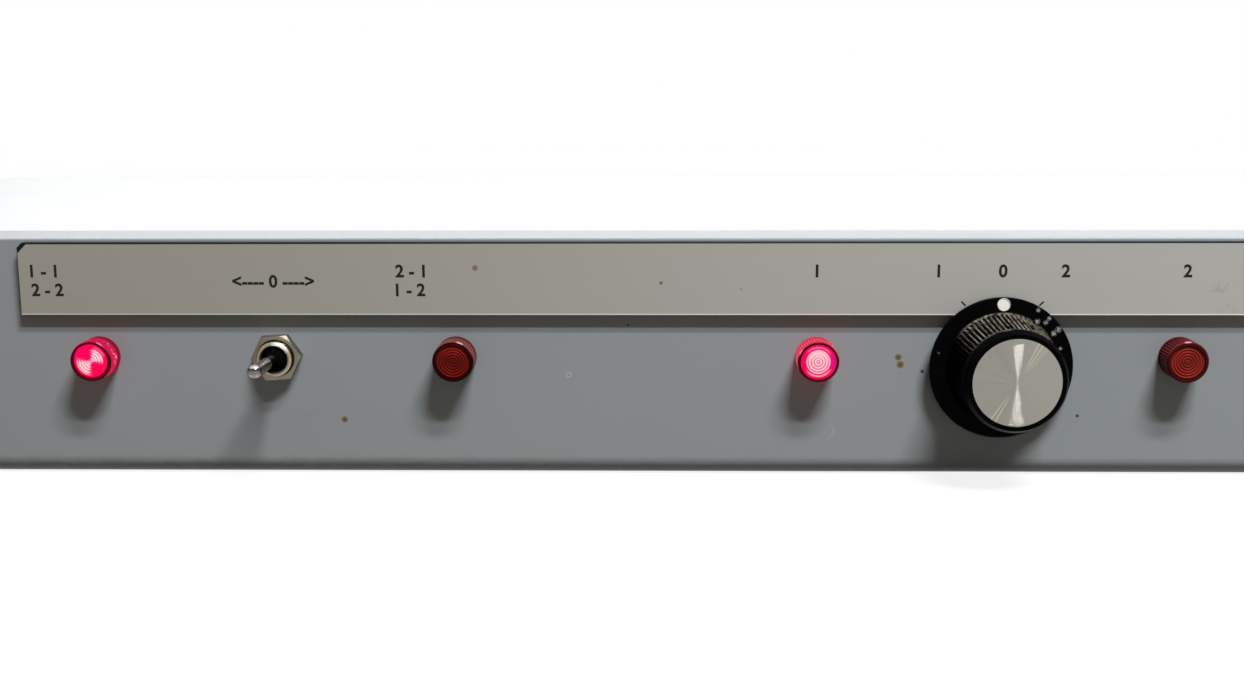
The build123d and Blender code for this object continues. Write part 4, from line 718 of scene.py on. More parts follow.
def spun_aluminium(settings):
    """Aluminium spun on a lathe: fine rings turn a lamp's reflection into a bow tie. A painted shadow of the
    rim, a right side painted lighter and painted reflection rays are added.
    """
    finish = Finish("spun aluminium")
    axis = KNOB_AXIS
    radius = finish.reach(axis.x, axis.z)
    bearing = finish.bearing(axis.x, axis.z)

    def per_groove(shift):
        return finish.add("ShaderNodeTexWhiteNoise", {"noise_dimensions": "1D"},
                          {"W": radius * GROOVE_FINENESS + shift})

    def per_bearing(rays, detail):
        return finish.add("ShaderNodeTexNoise", {"noise_dimensions": "1D"},
                          {"W": bearing * rays, "Scale": 1.0, "Detail": detail})

    # Painted shadow of the rim: steep rings only inside the circle
    spun = finish.ramp(finish.reach(*RIM_SHADOW_MIDDLE), RIM_SHADOW_RADIUS + 0.05, RIM_SHADOW_RADIUS - 0.05)
    steep = finish.maths("GREATER_THAN", per_groove(71.0), 1 - settings.steep_share) * spun
    slope = (per_groove(0.0) - 0.5) * (2 * (SHALLOW_SLOPE + steep * (settings.spin_slope - SHALLOW_SLOPE)))
    outward = finish.vector("NORMALIZE", finish.vector(
        "MULTIPLY", finish.vector("SUBTRACT", finish.place(), (axis.x, 0, axis.z)), (1, 0, 1)))
    outward = finish.add(
        "ShaderNodeVectorTransform",
        {"vector_type": "VECTOR", "convert_from": "OBJECT", "convert_to": "WORLD"}, {0: outward})
    straight = finish.add("ShaderNodeNewGeometry", output=1)
    _, towards, _ = finish.facing()
    flat = finish.ramp(towards, -0.9, -0.99)
    tilted = finish.vector("NORMALIZE", finish.vector("ADD", straight, finish.scaled(outward, slope * flat)))
    # Streaks round the disc, then the right side painted lighter as painted light
    tone = finish.coats(
        shade(settings.inlay, 0.9), (per_bearing(2.6, 4.0), shade(settings.inlay, 1.1)),
        ((per_bearing(24.0, 3.0) - 0.5) * 0.18, shade(settings.inlay, 1.5)),
        (finish.ramp(finish.side_of(axis.x, axis.z, 8), -0.5, 0.7) * 0.8, shade(settings.inlay, 1.12)),
    )
    # Painted reflections: faint yellowish rays at the upper right and lower left, in place of an iridescent
    # sheen
    for place, width, depth in PAINTED_INLAY_SHEEN:
        edge, core = (math.cos(math.radians(width * share)) for share in (1.0, 0.4))
        ray = finish.ramp(finish.side_of(axis.x, axis.z, place), edge, core) * finish.ramp(radius, 1.6, 4.0)
        tone = finish.mix(ray * depth, tone, tint(196, 190, 160))
    return finish.surface(colour=tone, metal=1.0, roughness=0.08, normal=tilted)


def pointer_fill():
    """White paint in the pointer's hole, with a painted shadow along its upper right edge."""
    finish = Finish("pointer fill")
    middle = node_middle("knob_pointer")
    # Painted shadow: a grey crescent at the upper right of the fill
    edge = finish.ramp(finish.reach(middle.x - 0.2, middle.z - 0.2), 1.05, 1.3)
    cloud = finish.noise(0.5, 3.0)
    tone = finish.coats(tint(222, 222, 214), (cloud, tint(250, 250, 246)), (edge * 0.75, tint(96, 94, 90)))
    return finish.surface(colour=tone, roughness=0.55, specular=0.2, normal=finish.relief(cloud, 0.02))


# Boards and the parts on them

CAP_LENGTH = 5.3


def solder_resist():
    """Green solder resist over tracks, with a weave at the cut edges."""
    finish = Finish("solder resist")
    x, y, z = finish.split(finish.place())
    lanes = finish.noise(4.0, 0.0, (6, 1, 1))
    track = finish.ramp(abs(finish.maths("SINE", lanes * 40.0)), 0.55, 0.8)
    weave = finish.maths("SINE", x * 9.0) * finish.maths("SINE", (y + z) * 9.0)
    green = linear(22, 86, 50)
    tone = finish.mix(track, shade(green, 0.75), shade(green, 1.35))
    tone = finish.mix((weave * 0.5 + 0.5) * 0.12, tone, shade(green, 0.6))
    return finish.surface(
        colour=tone, roughness=0.3 + track * 0.1, specular=0.4, normal=finish.relief(track, 0.03))


def sleeve(name, colour, band, low, high):
    """Shrunk plastic sleeve with a paler band between two heights."""
    finish = Finish(name)
    _, _, z = finish.split(finish.place())
    stripe = finish.ramp(z, low, low + 0.2) * finish.ramp(z, high, high - 0.2)
    wrinkle = finish.noise(1.2, 3.0, (1, 1, 4))
    tone = finish.mix(wrinkle, shade(colour, 0.8), shade(colour, 1.3))
    tone = finish.mix(stripe * 0.6, tone, shade(band, 1.0))
    return finish.surface(
        colour=tone, roughness=0.25 + wrinkle * 0.1, specular=0.4, normal=finish.relief(wrinkle, 0.05))


def fuse_glass():
    """A glass tube with plated caps at both ends."""
    finish = Finish("fuse glass")
    low, high = (corner * PER_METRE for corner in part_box("fuse_link"))
    x, _, _ = finish.split(finish.place())
    cap = finish.most(
        finish.ramp(x, low.x + CAP_LENGTH, low.x + CAP_LENGTH - 0.2),
        finish.ramp(x, high.x - CAP_LENGTH, high.x - CAP_LENGTH + 0.2))
    cloud = finish.noise(0.8, 3.0)
    plate = finish.mix(cloud, tint(150, 148, 140), tint(196, 194, 186))
    return finish.surface(
        colour=finish.mix(cap, tint(226, 232, 230), plate), metal=cap,
        roughness=0.08 + cap * 0.2 + cloud * 0.05, alpha=0.38 + cap * 0.62)


# New pieces

def add_piece(name, build, material, body="unit", smooth_angle=None):
    """A new piece from a mesh under construction, riding on a body."""
    mesh = bpy.data.meshes.new(name)
    build.to_mesh(mesh)
    build.free()
    mesh.materials.append(material)
    if smooth_angle is not None:
        mesh.shade_smooth()
        mesh.set_sharp_from_angle(angle=math.radians(smooth_angle))
    piece = bpy.data.objects.new(name, mesh)
    bpy.context.scene.collection.objects.link(piece)
    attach(piece, body)
    return piece


def carrier(name, build):
    """A scratch object that holds a mesh under construction."""
    mesh = bpy.data.meshes.new(name)
    build.to_mesh(mesh)
    build.free()
    holder = bpy.data.objects.new(name, mesh)
    bpy.context.scene.collection.objects.link(holder)
    return holder


def prism(build, first, second):
    """A closed prism between two outlines of as many points."""
    near, far = ([build.verts.new(point) for point in outline] for outline in (first, second))
    build.faces.new(near)
    build.faces.new(reversed(far))
    for one, two, three, four in zip(near, near[1:] + near[:1], far[1:] + far[:1], far):
        build.faces.new((four, three, two, one))


# Legends

LINE_WIDENING = 0.026
TEXT_THICKNESS = 0.1
STROKE_END_STEP = 30
MERGE_DISTANCE = 0.0005
UPPER_LINE, LOWER_LINE, SINGLE_LINE = 15.1, 11.7, 13.25
TICK_RADIUS, TICK_HALF, TICK_WIDTH = 13.45, 0.42, 0.27
TICK_PLACE, TICK_LEAN = 31, 46


def tick(side):
    """The index tick left (-1) or right (1) of the knob's pointer: its two ends and its width."""
    def swung(degrees):
        return Vector((math.sin(math.radians(degrees) * side), math.cos(math.radians(degrees))))
    middle = Vector((KNOB_AXIS.x, KNOB_AXIS.z)) + swung(TICK_PLACE) * TICK_RADIUS
    half = swung(TICK_LEAN) * TICK_HALF
    return middle - half, middle + half, TICK_WIDTH


LEGENDS = (
    ("legend_lamp_1", (("1 - 1", UPPER_LINE), ("2 - 2", LOWER_LINE)), -109.0, "LEFT", ()),
    ("legend_toggle", (("<---- 0 ---->", SINGLE_LINE),), TOGGLE_AXIS.x + 0.1, "CENTRE", ()),
    ("legend_lamp_2", (("2 - 1", UPPER_LINE), ("1 - 2", LOWER_LINE)), -43.0, "LEFT", ()),
    ("legend_lamp_3", (("1", UPPER_LINE),), 32.4, "CENTRE", ()),
    ("legend_knob_left", (("1", UPPER_LINE),), 54.0, "CENTRE", (tick(-1),)),
    ("legend_knob_middle", (("0", UPPER_LINE),), 65.4, "CENTRE", ()),
    ("legend_knob_right", (("2", UPPER_LINE),), 76.5, "CENTRE", (tick(1),)),
    ("legend_lamp_4", (("2", UPPER_LINE),), 98.0, "CENTRE", ()),
)


def text_outline(words):
    """The mesh of a line of text, flat on XY, and its width and height."""
    curve = bpy.data.curves.new("legend line", "FONT")
    curve.body = words
    curve.extrude = TEXT_THICKNESS / 2
    curve.offset = LINE_WIDENING
    curve.resolution_u = 4
    holder = bpy.data.objects.new("legend line", curve)
    bpy.context.scene.collection.objects.link(holder)
    graph = bpy.context.evaluated_depsgraph_get()
    mesh = bpy.data.meshes.new_from_object(holder.evaluated_get(graph))
    bpy.data.objects.remove(holder)
    bpy.data.curves.remove(curve)
    across = [v.co.x for v in mesh.vertices]
    tall = [v.co.y for v in mesh.vertices]
    return mesh, (min(across), max(across)), max(tall) - min(tall)


def stroke(build, start, end, width, face, depth):
    """A straight stroke with rounded ends, between two points (x, z) on the strip."""
    along = (Vector(end) - Vector(start)).normalized()
    turn = math.atan2(along.y, along.x)
    outline = []
    for (x, z), first in ((end, -90), (start, 90)):
        for step in range(0, 181, STROKE_END_STEP):
            angle = turn + math.radians(first + step)
            outline.append((x + math.cos(angle) * width / 2, z + math.sin(angle) * width / 2))
    prism(build, [(x, face - depth, z) for x, z in outline], [(x, face, z) for x, z in outline])


def write_legend(name, lines, x, align, strokes, settings, material):
    """One control's legend: lines of (words, base height) in mm, and straight strokes."""
    build = bmesh.new()
    digit, _, digit_height = text_outline("0")
    bpy.data.meshes.remove(digit)
    size = settings.legend_height * PER_METRE / digit_height
    face = STRIP_LOW.y
    depth = settings.legend_depth * PER_METRE
    for words, base in lines:
        mesh, (left, right), _ = text_outline(words)
        shift = -left if align == "LEFT" else -(left + right) / 2
        stand = Matrix.Translation((x, face - depth / 2, base)) @ Matrix.Rotation(math.pi / 2, 4, "X")
        stand = stand @ Matrix.Diagonal((size, size, depth / TEXT_THICKNESS, 1))
        stand = stand @ Matrix.Translation((shift, 0, 0))
        mesh.transform(stand)
        build.from_mesh(mesh)
        bpy.data.meshes.remove(mesh)
    for start, end, width in strokes:
        stroke(build, start, end, width, face, depth)
    bmesh.ops.remove_doubles(build, verts=build.verts, dist=MERGE_DISTANCE)
    bmesh.ops.recalc_face_normals(build, faces=build.faces)
    bmesh.ops.scale(build, vec=(MM, MM, MM), verts=build.verts)
    return add_piece(name, build, material)


# Screws

SHANK_RADIUS = 1.5 * MM
THREAD_PITCH = 0.5 * MM
THREAD_ROOT = SHANK_RADIUS * 0.84
TIP_RADIUS = SHANK_RADIUS * 0.8
HEAD_DOME = (  # shares of the head's radius and height, from its top to its underside
    (0.0, 1.0), (0.42, 0.98), (0.68, 0.90), (0.86, 0.72), (0.97, 0.44), (1.0, 0.18), (0.985, 0.0),
)
TURNED_STEPS = 28
RECESS_REACH, RECESS_HALF_WIDTH, RECESS_TAPER = 0.62, 0.24, 0.55
SAME_POINT = 1e-6
FIRST_TURN, NEXT_TURN = 17, 40


def separate_boxes(name):
    """The box of each separate solid in a CAD node, in metres."""
    build = bmesh.new()
    build.from_mesh(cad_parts[name].data)
    bmesh.ops.remove_doubles(build, verts=build.verts, dist=SAME_POINT)
    waiting = set(build.verts)
    boxes = []
    while waiting:
        front = [waiting.pop()]
        members = []
        while front:
            vertex = front.pop()
            members.append(vertex.co.copy())
            for edge in vertex.link_edges:
                other = edge.other_vert(vertex)
                if other in waiting:
                    waiting.remove(other)
                    front.append(other)
        boxes.append((Vector(map(min, *members)), Vector(map(max, *members))))
    build.free()
    return sorted(boxes, key=lambda box: tuple(box[0]))


def turned_screw(head_radius, head_height, shank_length):
    """A threaded pan-head screw along Z without a recess, its head's underside at the origin."""
    profile = [(share * head_radius, high * head_height) for share, high in HEAD_DOME]
    profile.append((SHANK_RADIUS, 0.0))
    for turn in range(int((shank_length - 2 * THREAD_PITCH) / THREAD_PITCH)):
        root = -(turn + 1) * THREAD_PITCH
        profile += [(THREAD_ROOT, root), (SHANK_RADIUS, root - THREAD_PITCH / 2)]
    profile += [(TIP_RADIUS, -shank_length), (0.0, -shank_length)]
    build = bmesh.new()
    points = [build.verts.new((radius, 0, height)) for radius, height in profile]
    edges = [build.edges.new(pair) for pair in zip(points, points[1:])]
    bmesh.ops.spin(build, geom=points + edges, axis=(0, 0, 1), cent=(0, 0, 0),
                   steps=TURNED_STEPS, angle=2 * math.pi)
    bmesh.ops.remove_doubles(build, verts=build.verts, dist=SAME_POINT)
    bmesh.ops.recalc_face_normals(build, faces=build.faces)
    return carrier("screw body", build)


def cross_cutter(head_radius, head_height):
    """The tapered cross that is cut out of a screw's head."""
    build = bmesh.new()
    arm = head_radius * RECESS_REACH
    half = arm * RECESS_HALF_WIDTH
    outline = []
    for quarter in range(4):
        turn = Matrix.Rotation(quarter * math.pi / 2, 2)
        outline += [turn @ Vector(point) for point in ((arm, -half), (arm, half), (half * 1.4, half * 1.4))]
    prism(build, [(p.x, p.y, head_height * 1.3) for p in outline],
          [(p.x * RECESS_TAPER, p.y * RECESS_TAPER, head_height * 0.25) for p in outline])
    bmesh.ops.recalc_face_normals(build, faces=build.faces)
    return carrier("screw recess", build)


def pan_head_screw(head_radius, head_height, shank_length):
    """The mesh of a pan-head screw with a cross recess, in metres."""
    body = turned_screw(head_radius, head_height, shank_length)
    cutter = cross_cutter(head_radius, head_height)
    cut = body.modifiers.new("recess", "BOOLEAN")
    cut.operation = "DIFFERENCE"
    cut.solver = "EXACT"
    cut.object = cutter
    graph = bpy.context.evaluated_depsgraph_get()
    screw = bpy.data.meshes.new_from_object(body.evaluated_get(graph))
    for used in (body, cutter):
        bpy.data.objects.remove(used)
    return screw


def fit_screws_of(node, piece, outward, head_height, material):
    """Replaces a CAD node's plain screws by pan-head screws in the same places."""
    build = bmesh.new()
    template = None
    for number, (low, high) in enumerate(separate_boxes(node)):
        middle, size = (low + high) / 2, high - low
        way = outward(middle)
        length = abs(size.dot(way))
        across = max(abs(part) for part in size - Vector(abs(w) * length for w in way))
        if template is None:
            template = pan_head_screw(across / 2, head_height, length - head_height)
        seat = middle + way * (length / 2 - head_height)
        turn = Quaternion((0, 0, 1), math.radians(FIRST_TURN + NEXT_TURN * number))
        stand = Matrix.LocRotScale(seat, way.to_track_quat("Z", "Y") @ turn, None)
        first = len(build.verts)
        build.from_mesh(template)
        build.verts.ensure_lookup_table()
        bmesh.ops.transform(build, matrix=stand, verts=build.verts[first:])
    screws = add_piece(piece, build, material, smooth_angle=38)
    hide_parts(node)


# Settings that a user would change

def colour_of(name, description, *tone):
    """A colour setting, whose first value is a tone given as 0 to 255 on a screen."""
    return FloatVectorProperty(
        name=name, description=description, subtype="COLOR", min=0, max=1, default=linear(*tone))


def amount(name, description, default, **limits):
    """A setting that is one number, at least 0 unless its limits say more."""
    return FloatProperty(name=name, description=description, default=default, **{"min": 0, **limits})


class SWITCHER_PG_panel(bpy.types.PropertyGroup):
    paint: colour_of("Panel paint", "Colour of the front panel's paint", 136, 142, 145)
    paint_roughness: amount("Paint roughness", "How dull the panel's paint is", 0.42, max=1)
    case: colour_of("Case paint", "Colour of the tray and the cover", 208, 212, 214)


class SWITCHER_PG_strip(bpy.types.PropertyGroup):
    face: colour_of("Face", "Colour of the laminate's silver face", 166, 166, 161)
    core: colour_of("Core", "Colour of the laminate's core and of the legends", 3, 3, 4)
    edge_inset: amount("Edge inset", "Width of the bared core along the top edge", 0.17 * MM, unit="LENGTH")
    legend_height: amount("Legend height", "Height of the legends' figures", 2.35 * MM, unit="LENGTH")
    legend_depth: amount("Legend depth", "Thickness of the legends", 0.03 * MM, unit="LENGTH")


class SWITCHER_PG_lamps(bpy.types.PropertyGroup):
    glow: colour_of("Glow", "Colour of a lit lamp", 252, 0, 92)
    rings: colour_of("Rings", "Colour of the pale rings on a lit lamp", 255, 204, 210)


class SWITCHER_PG_controls(bpy.types.PropertyGroup):
    nickel: colour_of("Nickel", "Colour of the toggle switch's nut and bushing", 118, 111, 97)
    lever: colour_of("Lever", "Colour of the toggle switch's lever", 124, 118, 115)
    knob: colour_of("Knob", "Colour of the knob's plastic", 2, 2, 3)
    inlay: colour_of("Inlay", "Colour of the knob's spun inlay", 142, 140, 132)
    spin_slope: amount("Spin slope", "Steepness of the inlay's steepest rings", 0.9, max=2)
    steep_share: amount("Steep share", "Share of the inlay's rings that are steep", 0.17, max=1)


class SWITCHER_PG_stage(bpy.types.PropertyGroup):
    front_power: amount("Front tube power", "Power of the lower, front light tube", 7.93, unit="POWER")
    rear_power: amount("Rear tube power", "Power of the higher, rear light tube", 8.03, unit="POWER")
    back_power: amount("Back tube power", "Power of the low tube behind the case", 2.2, unit="POWER")
    back_length: amount("Back tube length", "Length of the low tube behind the case", 1.1, unit="LENGTH")
    tube_length: amount("Tube length", "Length of the two tubes above the panel", 0.34, unit="LENGTH")
    tube_width: amount("Tube width", "Width of each light tube", 0.045, unit="LENGTH")
    tube_distance: amount("Tube distance", "Distance from the panel to the light tubes", 1.0, unit="LENGTH")
    sky: amount("Sky", "Strength of the light from all round", 0.146)
    focal: amount("Focal length", "Focal length of the camera, in mm", 45.78, min=1)


GROUPS = {
    "switcher_panel": SWITCHER_PG_panel,
    "switcher_strip": SWITCHER_PG_strip,
    "switcher_lamps": SWITCHER_PG_lamps,
    "switcher_controls": SWITCHER_PG_controls,
    "switcher_stage": SWITCHER_PG_stage,
}


# Operators, one for each group of like pieces

class SWITCHER_OT_panel(bpy.types.Operator):
    """Paint the front panel and dress the nuts and washers behind it"""
    bl_idname = "switcher.panel"
    bl_label = "Front panel"

    def execute(self, context):
        dress(panel_paint(context.scene.switcher_panel), "front_panel")
        dress(plated("zinc plate", linear(176, 178, 180), 0.34),
              "panel_nuts", "board_screws", "board_standoffs")
        dress(plated("washer nickel", linear(170, 166, 156), 0.3), "panel_washers")
        return {"FINISHED"}


class SWITCHER_OT_case(bpy.types.Operator):
    """Paint the tray and the cover"""
    bl_idname = "switcher.case"
    bl_label = "Case"

    def execute(self, context):
        dress(case_paint(context.scene.switcher_panel), "chassis_tray", "top_cover")
        return {"FINISHED"}


class SWITCHER_OT_strip(bpy.types.Operator):
    """Give the label strip its silver face and black core"""
    bl_idname = "switcher.strip"
    bl_label = "Label strip"

    def execute(self, context):
        dress(strip_laminate(context.scene.switcher_strip), "label_strip")
        return {"FINISHED"}


class SWITCHER_OT_legends(bpy.types.Operator):
    """Write the plain numbers and the direction marks on the label strip"""
    bl_idname = "switcher.legends"
    bl_label = "Legends"

    def execute(self, context):
        settings = context.scene.switcher_strip
        ink = legend_ink(settings)
        for legend in LEGENDS:
            write_legend(*legend, settings, ink)
        return {"FINISHED"}


class SWITCHER_OT_lamps(bpy.types.Operator):
    """Dress the lamps: two lit, two dark, with their diodes and clips"""
    bl_idname = "switcher.lamps"
    bl_label = "Lamps"

    def execute(self, context):
        settings = context.scene.switcher_lamps
        for lamp in LAMPS:
            dress(lit_lens(lamp, settings) if lamp in LIT_LENSES else dark_lens(lamp), lamp)
        dress(moulded("diode epoxy", linear(196, 60, 60), 0.2, 0.8, 0.5, 0.004), "lamp_leds")
        dress(moulded("clip nylon", linear(26, 26, 27)), "lamp_clips")
        return {"FINISHED"}


class SWITCHER_OT_toggle(bpy.types.Operator):
    """Dress the toggle switch: nickel nut, bushing and lever, moulded case"""
    bl_idname = "switcher.toggle"
    bl_label = "Toggle switch"

    def execute(self, context):
        settings = context.scene.switcher_controls
        dress(nut_nickel(settings.nickel, TOGGLE_AXIS), "toggle_nuts")
        dress(bushing_nickel(settings.nickel, TOGGLE_AXIS), "toggle_bushing")
        dress(lever_nickel(settings.lever), "toggle_lever")
        dress(moulded("switch case", linear(30, 30, 31)), "toggle_case")
        return {"FINISHED"}


class SWITCHER_OT_rotary(bpy.types.Operator):
    """Dress the rotary switch and its knob"""
    bl_idname = "switcher.rotary"
    bl_label = "Rotary switch and knob"

    def execute(self, context):
        settings = context.scene.switcher_controls
        dress(knob_plastic(settings), "knob_body")
        dress(spun_aluminium(settings), "knob_inlay")
        dress(pointer_fill(), "knob_pointer")
        dress(plated("turned brass", linear(196, 164, 96), 0.3), "knob_insert", "rotary_bushing")
        dress(plated("blackened steel", linear(60, 60, 62), 0.4), "knob_grub_screw")
        dress(plated("shaft steel", linear(170, 172, 174), 0.3, 0.1, (1, 6, 1)), "rotary_shaft")
        dress(plated("rotary nickel", linear(172, 168, 158), 0.28), "rotary_nut")
        dress(moulded("rotary case", linear(24, 24, 25)), "rotary_case")
        return {"FINISHED"}


class SWITCHER_OT_boards(bpy.types.Operator):
    """Dress the circuit boards and the parts on them"""
    bl_idname = "switcher.boards"
    bl_label = "Circuit boards"

    def execute(self, context):
        dress(solder_resist(), "main_board", "control_board")
        dress(plated("tinned copper", linear(184, 184, 180), 0.32), "board_header", "switch_terminals")
        dress(moulded("epoxy casing", linear(34, 34, 35), 0.5, 0.4, 0.3, 0.02),
              "board_chips", "mains_transformer", "voltage_regulator")
        dress(moulded("relay case", linear(38, 78, 150), 0.3, 0.5, 0.45, 0.004), "relays")
        low, high = (corner.z * PER_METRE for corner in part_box("reservoir_capacitors"))
        dress(sleeve("capacitor sleeve", linear(28, 32, 48), linear(168, 170, 176), high - 4.0, high - 1.5),
              "reservoir_capacitors")
        dress(plated("black anodising", linear(30, 30, 31), 0.5, 0.1, (1, 1, 10)), "regulator_heatsink")
        return {"FINISHED"}


class SWITCHER_OT_sockets(bpy.types.Operator):
    """Dress the rear sockets, their latches and the remote connector"""
    bl_idname = "switcher.sockets"
    bl_label = "Rear sockets"

    def execute(self, context):
        shells = [f"input_shell_{n}" for n in (1, 2, 3, 4)] + ["output_shell_1", "output_shell_2"]
        latches = [f"input_latch_{n}" for n in (1, 2, 3, 4)]
        dress(plated("die-cast nickel", linear(166, 166, 162), 0.36, 0.1), *shells)
        dress(plated("latch nickel", linear(178, 176, 168), 0.26), *latches)
        dress(moulded("socket insert", linear(20, 20, 21)), "socket_inserts", "remote_insert")
        dress(plated("gold flash", linear(212, 184, 116), 0.24), "socket_contacts", "output_pins")
        dress(plated("remote shell plate", linear(180, 180, 174), 0.3), "remote_shell", "jackposts")
        return {"FINISHED"}


class SWITCHER_OT_inlet(bpy.types.Operator):
    """Dress the mains inlet, its fuse drawer and the earth post"""
    bl_idname = "switcher.inlet"
    bl_label = "Mains inlet and earth"

    def execute(self, context):
        dress(moulded("inlet moulding", linear(20, 20, 21)), "inlet_housing")
        dress(moulded("drawer moulding", linear(26, 26, 27), 0.38), "fuse_drawer")
        dress(plated("blade nickel", linear(188, 186, 178), 0.24), "inlet_blades")
        dress(fuse_glass(), "fuse_link")
        dress(plated("earth brass", linear(190, 160, 92), 0.34), "earth_post")
        return {"FINISHED"}


class SWITCHER_OT_screws(bpy.types.Operator):
    """Fit pan-head screws with cross recesses to the rear wall and the cover"""
    bl_idname = "switcher.screws"
    bl_label = "Screws"

    def execute(self, context):
        zinc = plated("screw zinc", linear(178, 180, 180), 0.3)
        fit_screws_of("connector_screws", "rear_pan_head_screws",
                      lambda middle: Vector((0, 1, 0)), 1.8 * MM, zinc)
        fit_screws_of("cover_screws", "cover_pan_head_screws",
                      lambda middle: Vector((math.copysign(1, middle.x), 0, 0)), 1.9 * MM, zinc)
        return {"FINISHED"}


class SWITCHER_OT_stage(bpy.types.Operator):
    """Set up the floor, the lights and the camera"""
    bl_idname = "switcher.stage"
    bl_label = "Stage"

    def execute(self, context):
        settings = context.scene.switcher_stage
        lay_floor()
        hang_tubes(settings)
        light_sky(context.scene, settings.sky)
        place_camera(context.scene, settings.focal)
        context.scene.view_settings.view_transform = "Standard"
        return {"FINISHED"}


# The stage

TUBES = (  # name, direction from the panel, and the settings that hold its power and length
    ("front tube", Vector((0.27, -0.505, 0.82)), "front_power", "tube_length"),
    ("rear tube", Vector((0.27, -0.40, 0.87)), "rear_power", "tube_length"),
    ("back tube", Vector((0.0, 0.96, 0.12)), "back_power", "back_length"),
)
TUBE_COLOUR = (0.99, 0.99, 1.0)
SKY_TINT = (1.0, 0.86, 0.68)
FLOOR_REACH = 6.0
FLOOR_SEEN, FLOOR_BOUNCE = (0.9, 0.9, 0.9, 1.0), (0.12, 0.105, 0.085, 1.0)
FLOOR_WHITE_SHARE, FLOOR_FADE = 0.86, (0.35, 1.1)
CAMERA_PLACE = Vector((3.907, -283.555, 54.104))
CAMERA_AZIMUTH, CAMERA_DROP, CAMERA_ROLL = (math.radians(angle) for angle in (-1.292, 10.565, -0.190))


def seen_directly(finish):
    """1 for a ray that shows the surroundings: from the camera, a reflection or a pane of glass."""
    rays = finish.add("ShaderNodeLightPath")
    kinds = ("Is Camera Ray", "Is Glossy Ray", "Is Transmission Ray")
    return finish.most(*(rays.sibling(name) for name in kinds))


def lay_floor():
    """A pale floor that takes the object's shadow and meets a white background."""
    corners = ((-1, -1), (1, -1), (1, 1), (-1, 1))
    mesh = bpy.data.meshes.new("floor")
    mesh.from_pydata([(x * FLOOR_REACH, y * FLOOR_REACH, cad_low.z) for x, y in corners], [], [(0, 1, 2, 3)])
    floor = bpy.data.objects.new("floor", mesh)
    bpy.context.scene.collection.objects.link(floor)
    finish = Finish("floor")
    finish.tree.nodes.remove(finish.tree.nodes["Principled BSDF"])
    seen = seen_directly(finish)
    matt = finish.add("ShaderNodeBsdfDiffuse", {}, {"Color": finish.mix(seen, FLOOR_BOUNCE, FLOOR_SEEN)})
    white = finish.add("ShaderNodeEmission", {}, {"Color": (1.0, 1.0, 1.0, 1.0), "Strength": 1.0})
    distance = finish.vector("LENGTH", finish.add("ShaderNodeTexCoord", output=3), output=1)
    share = FLOOR_WHITE_SHARE + finish.ramp(distance, *FLOOR_FADE) * (1 - FLOOR_WHITE_SHARE)
    both = finish.add("ShaderNodeMixShader", {}, {0: seen * share, 1: matt, 2: white})
    finish.feed(finish.tree.nodes["Material Output"].inputs["Surface"], both)
    mesh.materials.append(finish.material)


def hang_tubes(settings):
    """Two soft tubes above and to the right of the panel, and a long low one behind the case."""
    for name, direction, power, length in TUBES:
        lamp = bpy.data.lights.new(name, "AREA")
        lamp.shape = "RECTANGLE"
        lamp.energy = getattr(settings, power)
        lamp.color = TUBE_COLOUR
        lamp.size = getattr(settings, length)
        lamp.size_y = settings.tube_width
        tube = bpy.data.objects.new(name, lamp)
        tube.location = direction.normalized() * settings.tube_distance
        tube.rotation_euler = (math.atan2(-direction.y, direction.z), 0.0, 0.0)
        bpy.context.scene.collection.objects.link(tube)


def light_sky(scene, strength):
    """Even, slightly warm light from all round, seen as white."""
    world = bpy.data.worlds.new("studio")
    world.use_nodes = True
    scene.world = world
    finish = Finish("studio", world.node_tree)
    sky = world.node_tree.nodes["Background"]
    finish.feed(sky.inputs["Color"],
                finish.mix(seen_directly(finish), shade(SKY_TINT, strength), (1.0, 1.0, 1.0, 1.0)))


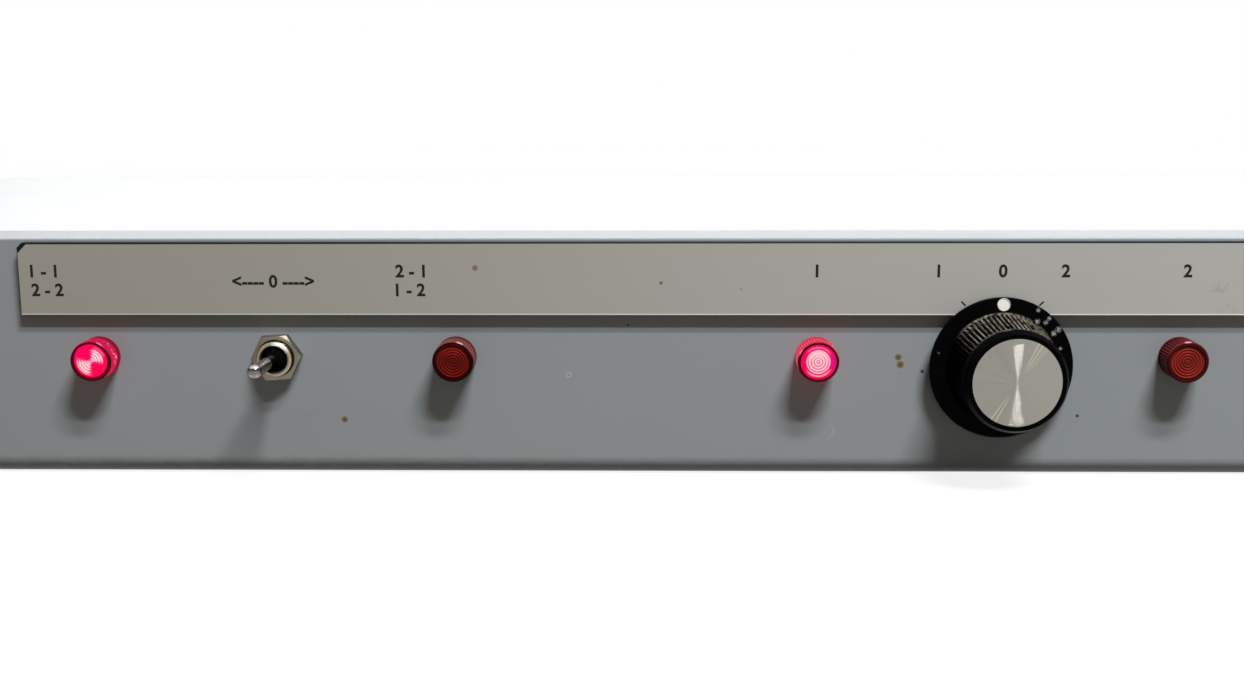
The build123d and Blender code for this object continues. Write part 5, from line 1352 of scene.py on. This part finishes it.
def place_camera(scene, focal):
    """The camera of the photograph."""
    lens = bpy.data.cameras.new("camera")
    lens.lens = focal
    lens.sensor_width = 36.0
    lens.clip_start = 0.01
    camera = bpy.data.objects.new("camera", lens)
    ahead = Vector((math.sin(CAMERA_AZIMUTH) * math.cos(CAMERA_DROP),
                    math.cos(CAMERA_AZIMUTH) * math.cos(CAMERA_DROP), -math.sin(CAMERA_DROP)))
    camera.rotation_mode = "QUATERNION"
    camera.rotation_quaternion = ahead.to_track_quat("-Z", "Y") @ Quaternion((0, 0, 1), CAMERA_ROLL)
    camera.location = CAMERA_PLACE * MM
    scene.collection.objects.link(camera)
    scene.camera = camera


OPERATORS = (
    SWITCHER_OT_panel, SWITCHER_OT_case, SWITCHER_OT_strip, SWITCHER_OT_legends, SWITCHER_OT_lamps,
    SWITCHER_OT_toggle, SWITCHER_OT_rotary, SWITCHER_OT_boards, SWITCHER_OT_sockets, SWITCHER_OT_inlet,
    SWITCHER_OT_screws, SWITCHER_OT_stage,
)


class SWITCHER_PT_finishes(bpy.types.Panel):
    """Lists the switcher's settings and operators"""
    bl_idname = "SWITCHER_PT_finishes"
    bl_label = "Audio switcher"
    bl_space_type = "VIEW_3D"
    bl_region_type = "UI"
    bl_category = "Switcher"

    def draw(self, context):
        for group in GROUPS:
            box = self.layout.box()
            settings = getattr(context.scene, group)
            for name in settings.bl_rna.properties.keys():
                if name not in ("rna_type", "name"):
                    box.prop(settings, name)
        for operator in OPERATORS:
            self.layout.operator(operator.bl_idname)


def register():
    for group in GROUPS.values():
        bpy.utils.register_class(group)
    for name, group in GROUPS.items():
        setattr(bpy.types.Scene, name, PointerProperty(type=group))
    for operator in OPERATORS:
        bpy.utils.register_class(operator)
    bpy.utils.register_class(SWITCHER_PT_finishes)


def unregister():
    bpy.utils.unregister_class(SWITCHER_PT_finishes)
    for operator in reversed(OPERATORS):
        bpy.utils.unregister_class(operator)
    for name, group in GROUPS.items():
        delattr(bpy.types.Scene, name)
        bpy.utils.unregister_class(group)


def main():
    register()
    bpy.ops.switcher.panel()
    bpy.ops.switcher.case()
    bpy.ops.switcher.strip()
    bpy.ops.switcher.legends()
    bpy.ops.switcher.lamps()
    bpy.ops.switcher.toggle()
    bpy.ops.switcher.rotary()
    bpy.ops.switcher.boards()
    bpy.ops.switcher.sockets()
    bpy.ops.switcher.inlet()
    bpy.ops.switcher.screws()
    bpy.ops.switcher.stage()


if __name__ == "__main__":
    main()
